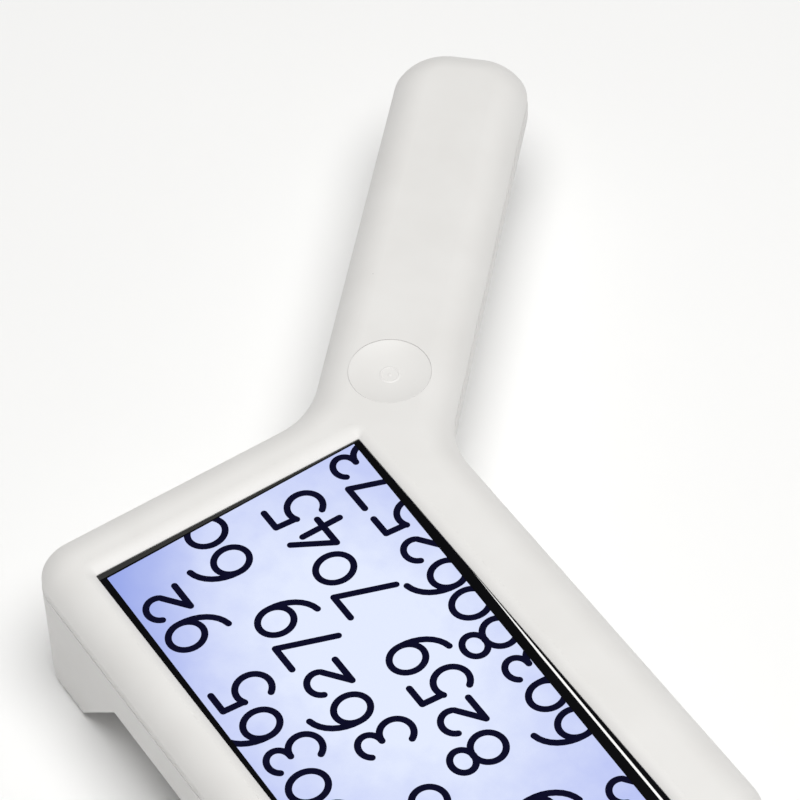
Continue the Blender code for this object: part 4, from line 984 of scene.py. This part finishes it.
def make_charge_port(metal, tongue_plastic, brass):
    """Rounded charging socket: shell, tongue and its row of contacts."""
    low, high = local_box("charge_socket")
    wall = 0.35 * MM
    step = Vector((0.0, wall, wall))
    rim = X_END - 0.15 * MM
    inner = high.x - SOCKET_MOUTH
    shell = end_prism(low, high, SOCKET_CORNER, low.x, rim)
    cut(shell, end_prism(low + step, high - step, SOCKET_CORNER - wall, inner, X_END + OVER))
    finish(shell, "charge_port_shell", metal, replaces=["charge_socket"])
    centre = middle(low, high)
    half = Vector((0.0, 2.6 * MM, 0.35 * MM))
    tip = high.x - 1.0 * MM
    tongue = block((inner - PLAY, centre.y - half.y, centre.z - half.z),
                   (tip, centre.y + half.y, centre.z + half.z), rounding=0.15 * MM)
    finish(tongue, "charge_port_tongue", tongue_plastic)
    contacts = 8
    start = inner + 0.2 * MM
    end = tip - 0.4 * MM
    pitch = 0.6 * MM
    wide = 0.17 * MM
    thick = 0.05 * MM
    pads = []
    for k in range(contacts):
        y = centre.y + (k - (contacts - 1) / 2) * pitch
        for side in (-1.0, 1.0):
            z = centre.z + side * half.z
            pads.append(block((start, y - wide, z - thick), (end, y + wide, z + thick),
                              rounding=0.02 * MM))
    finish(merge(pads), "charge_port_contacts", brass)


def make_battery_cover(plastic):
    """Sliding cover with its latch and the ridges for the thumb."""
    cover = lower_shell()
    keep(cover, door_zone(DOOR_THICKNESS, DOOR_START))
    half = LATCH_WIDTH / 2
    root = DOOR_START + 2.0 * MM
    tools = [block((DOOR_START - LATCH_REACH, -half, LATCH_LEVELS[0]),
                   (root, half, LATCH_LEVELS[1]), GRIP_FRAME)]
    for k in range(RIDGES):
        ridge = DOOR_START + RIDGE_START + RIDGE_PITCH * k
        tools.append(block((ridge, -RIDGE_HALF, -RIDGE_HEIGHT),
                           (ridge + RIDGE_WIDTH, RIDGE_HALF, RIDGE_HEIGHT), GRIP_FRAME,
                           rounding=0.4 * RIDGE_WIDTH))
    add(cover, merge(tools))
    finish(cover, "battery_cover_ridged", plastic, "battery_cover", ["battery_cover"])


# ---- button

def make_button(plastic):
    """Cap with a finger dish, and a plain raised ring and dot in its middle."""
    radius = BUTTON_HOLE - BUTTON_GAP
    ring = (1.85 * MM, 2.35 * MM)
    dot = 0.5 * MM
    proud = 0.14 * MM

    def dish(reach):
        share = reach / radius
        height = BUTTON_RIM + (BUTTON_DISH - BUTTON_RIM) * (1.0 - share * share)
        if ring[0] < reach < ring[1]:
            height += proud * math.sin(math.pi * (reach - ring[0]) / (ring[1] - ring[0])) ** 0.5
        if reach < dot:
            height += proud * math.cos(math.pi / 2 * reach / dot) ** 0.5
        return height

    flange_top = -COVER_THICKNESS - PLAY
    flange_low = -3.5 * MM
    stem = 2.0 * MM
    edge = 0.9 * radius
    rim = fillet([
        (radius, flange_top, 0.0),
        (radius, BUTTON_RIM, 0.08 * MM),
        (edge, dish(edge), 0.0),
    ])
    profile = [
        (0.0, BUTTON_BOTTOM), (stem, BUTTON_BOTTOM), (stem, flange_low),
        (BUTTON_FLANGE, flange_low), (BUTTON_FLANGE, flange_top), *rim,
    ]
    steps = 84
    for k in range(1, steps):
        reach = edge * (1 - k / steps)
        profile.append((reach, dish(reach)))
    profile.append((0.0, dish(0.0)))
    cap = turned(profile, on_handle(BUTTON_U))
    finish(cap, "button_cap_dished", plastic, "button", ["button_cap"])


# ---- display

def flat_ring(bm, outer, inner, low, high):
    """Closed ring between two outlines of the same number of points."""
    rows = [[bm.verts.new((*point, z)) for point in loop]
            for loop, z in ((outer, low), (outer, high), (inner, high), (inner, low))]
    skin(bm, zip(rows, rows[1:] + rows[:1]))


def make_display(lit, ink, black, grey, bright):
    """The panel sits a little askew in the opening: glass, black mask, lit area and what it shows."""
    low, high = local_box("display_panel")
    module = rectangle_loop(high.x - low.x, high.y - low.y, MODULE_CORNER)
    finish(plate(module, low.z, low.z + MODULE_HEIGHT), "display_module", black,
           replaces=["display_panel"])
    lit_level = GLASS_BOTTOM + 2 * LEVEL
    figure_level = lit_level + LEVEL
    mask_top = figure_level + LEVEL
    step = LEVEL / 4
    over_mask = (mask_top + step, mask_top + LEVEL)
    for name, outline, heights, material, slot in (
        ("display_glass", GLASS, (GLASS_BOTTOM, lit_level - step), black, "display_glass"),
        ("display_lit_area", LIT_PLATE, (lit_level, figure_level - step), lit, "display_glass"),
        # painted shade: grey sheet for the shadowed gap along the handle end
        ("display_gap_end_shade", END_GAP_SHADE, over_mask, grey, "black_plastic"),
        # painted shade: black sheet for the shadowed gap along the -Y side
        ("display_gap_side_shade", SIDE_GAP_SHADE, over_mask, black, "black_plastic"),
        # painted highlight: near-white strip along the module frame's edge
        ("display_frame_edge_highlight", FRAME_EDGE_HIGHLIGHT, over_mask, bright, "white_plastic"),
    ):
        finish(plate(outline, *heights), name, material)
    figures = make_figures(figure_level, figure_level + LEVEL / 2)
    finish(figures, "display_figures", ink, weighted=False)
    bm = bmesh.new()
    flat_ring(bm, GLASS, LIT, lit_level, mask_top)
    finish(mesh_object(bm), "display_mask", black)


# Figures on the display: plain old-style numerals, in units of their x-height

def arc(centre, radii, start, end):
    """Points along an ellipse from one angle to another, in degrees."""
    steps = max(6, round(abs(end - start) / 10.0))
    angles = [math.radians(start + (end - start) * k / steps) for k in range(steps + 1)]
    return [(centre[0] + radii[0] * math.cos(angle), centre[1] + radii[1] * math.sin(angle))
            for angle in angles]


NUMERALS = {
    "0": [arc((0.48, 0.5), (0.42, 0.48), 0, 360)],
    "2": [arc((0.42, 0.66), (0.34, 0.33), 160, -32) + [(0.08, 0.0)], [(0.08, 0.0), (0.82, 0.0)]],
    "3": [arc((0.38, 0.68), (0.33, 0.3), 150, -90), arc((0.36, -0.03), (0.4, 0.41), 90, -150)],
    "4": [[(0.62, 1.0), (0.05, 0.03)], [(0.05, 0.03), (0.92, 0.03)], [(0.66, 0.62), (0.66, -0.45)]],
    "5": [[(0.75, 1.0), (0.2, 1.0)], [(0.2, 1.0), (0.16, 0.46)],
          arc((0.36, 0.06), (0.42, 0.45), 122, -140)],
    "6": [arc((0.46, 0.45), (0.4, 0.45), 0, 360), arc((0.82, 0.5), (0.76, 0.98), 180, 98)],
    "7": [[(0.08, 1.0), (0.82, 1.0)], [(0.82, 1.0), (0.3, -0.45)]],
    "8": [arc((0.45, 0.42), (0.42, 0.42), 0, 360), arc((0.45, 1.13), (0.33, 0.3), 0, 360)],
    "9": [arc((0.44, 0.55), (0.4, 0.45), 0, 360), arc((0.08, 0.5), (0.76, 0.98), 0, -82)],
}


def stroke(bm, line, half, low, high):
    """Closed flat stroke along a plan line: a ring if the line closes, else with round ends."""
    points = [Vector(point) for point in line]
    closed = (points[0] - points[-1]).length < WELD
    if closed:
        points.pop()
    count = len(points)
    left = []
    right = []
    for k, point in enumerate(points):
        before = points[k - 1] if k or closed else point
        after = points[(k + 1) % count] if k < count - 1 or closed else point
        run = (after - before).normalized() * half
        left.append(point + Vector((-run.y, run.x)))
        right.append(point - Vector((-run.y, run.x)))
    if closed:
        flat_ring(bm, left, right, low, high)
        return
    outline = left + round_end(points[-1], left[-1]) + right[::-1] + round_end(points[0], right[0])
    close_rows(bm, [[bm.verts.new((*point, z)) for point in outline] for z in (low, high)])


def round_end(centre, start):
    """Points of a half circle, clockwise from start, without its two ends."""
    steps = 8
    return [centre + Matrix.Rotation(-math.pi * k / steps, 2) @ (start - centre) for k in range(1, steps)]


def make_figures(low, high):
    """Rows of enlarged numerals set from their right-hand ends; the mask covers what runs past."""
    bm = bmesh.new()
    for text, row, end in ROWS:
        for place, character in enumerate(reversed(text)):
            if character == " ":
                continue
            x = end - (place + 1) * LETTER_PITCH
            for number, line in enumerate(NUMERALS[character]):
                placed = [(x + px * X_HEIGHT, row + py * X_HEIGHT) for px, py in line]
                stroke(bm, placed, STROKE_HALF, low, high + number * 0.004 * MM)
    return mesh_object(bm)


# ---- pieces kept from the CAD model

def repaint(kept, other):
    """Give the CAD nodes that stay a material by the start of their names, and the rest another."""
    for node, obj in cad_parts.items():
        if obj.hide_render:
            continue
        found = [material for material, starts in kept if node.startswith(starts)]
        obj.data.materials.clear()
        obj.data.materials.append(found[0] if found else other)


# ---- studio

def from_angles(azimuth, elevation, distance):
    """Offset at an azimuth from +X and an elevation, in degrees."""
    level = math.cos(math.radians(elevation)) * distance
    return Vector((level * math.cos(math.radians(azimuth)), level * math.sin(math.radians(azimuth)),
                   distance * math.sin(math.radians(elevation))))


def looking(eye, target, roll=0.0):
    """Matrix of a camera or light at eye that looks at target."""
    forward = (target - eye).normalized()
    level = forward.cross(Vector((0.0, 0.0, 1.0))).normalized()
    right = level * math.cos(roll) + level.cross(forward) * math.sin(roll)
    up = right.cross(forward)
    return Matrix.Translation(eye) @ Matrix((right, up, -forward)).transposed().to_4x4()


def make_floor(material):
    bm = bmesh.new()
    bmesh.ops.create_grid(bm, x_segments=8, y_segments=8, size=4.0)
    floor = mesh_object(bm, "studio_floor")
    floor.data.materials.append(material)
    floor.location.z = FLOOR


def make_light():
    world = bpy.data.worlds.new("studio")
    world.use_nodes = True
    background = world.node_tree.nodes["Background"]
    background.inputs["Color"].default_value = (1.0, 0.998, 0.99, 1.0)
    background.inputs["Strength"].default_value = FILL
    bpy.context.scene.world = world
    key = bpy.data.lights.new("key", "AREA")
    key.shape = "DISK"
    key.size = 1.5
    key.energy = KEY_POWER
    key.color = (1.0, 0.998, 0.985)
    scene_object("key", key).matrix_world = looking(from_angles(*KEY_PLACE), KEY_AIM)


def make_camera():
    """Camera at the photo's angle, aimed at a point level with the cover's top."""
    camera = bpy.data.cameras.new("camera")
    camera.lens = 175.5
    camera.sensor_width = 36.0
    eye = scene_object("camera", camera)
    target = ORIGIN + AIM
    eye.matrix_world = looking(target + from_angles(*CAMERA_PLACE), target, CAMERA_ROLL)
    bpy.context.scene.camera = eye
    bpy.context.scene.view_settings.view_transform = "Standard"


# ---- the whole scene

CASE = moulded_plastic("case_plastic", (0.822, 0.812, 0.799), (0.792, 0.780, 0.765), 0.42)
BLACK = moulded_plastic("black_plastic", (0.016, 0.016, 0.017), (0.011, 0.011, 0.012), 0.5)
WHITE = moulded_plastic("white_plastic", (0.82, 0.81, 0.77), (0.76, 0.75, 0.71), 0.48)
STEEL = brushed_metal("steel", (0.68, 0.68, 0.66), (0.48, 0.48, 0.47), 0.3)
BRASS = brushed_metal("contact_brass", (0.92, 0.68, 0.30), (0.75, 0.50, 0.18), 0.24)

make_front_cover(CASE)
make_rear_housing(CASE)
make_battery_cover(CASE)
make_button(CASE)
make_foot_pads(rubber("rubber"))
make_case_screws(STEEL)
make_charge_port(STEEL, BLACK, BRASS)
make_display(
    lit=lit_display("lit_display"),
    ink=displayed_ink("display_figures"),
    black=moulded_plastic("display_mask", (0.002, 0.002, 0.003), (0.001, 0.001, 0.0015), 0.4, 0.06),
    # painted shade for the gap along the handle end
    grey=moulded_plastic("gap_painted_shade", (0.034, 0.034, 0.033), (0.026, 0.026, 0.025), 0.6, 0.1),
    # painted highlight along the module frame's edge
    bright=moulded_plastic("painted_edge_highlight", (0.98, 0.98, 0.98), (0.95, 0.95, 0.95), 0.4),
)
repaint([
    (film("battery_wrap", (0.10, 0.13, 0.19), (0.07, 0.09, 0.14), 2.0 * MM), ("battery_pack",)),
    (insulation("red_insulation", (0.60, 0.035, 0.025), (0.48, 0.02, 0.015)), ("battery_lead_plus",)),
    (insulation("black_insulation", (0.03, 0.03, 0.03), (0.015, 0.015, 0.016)), ("battery_lead_minus",)),
    (BRASS, ("contact_spring",)),
    (STEEL, ("board_screw", "processor_shield", "display_frame", "display_back_plate")),
    (circuit_board("circuit_board"), ("main_board", "switch_board", "light_board")),
    (chip_package("chip"), ("image_sensor",)),
    (clear_plastic("clear_window", (0.90, 0.94, 0.97)), ("camera_lens", "camera_window")),
    (frosted_plastic("diffuser_plastic"), ("light_diffuser", "lamp", "display_backlight")),
    (WHITE, ("display_connector", "power_connector")),
    (film("cable_film", (0.80, 0.76, 0.62), (0.62, 0.50, 0.30)), ("display_cable", "button_cable")),
], BLACK)
make_floor(pale_floor("studio_floor"))
make_light()
make_camera()
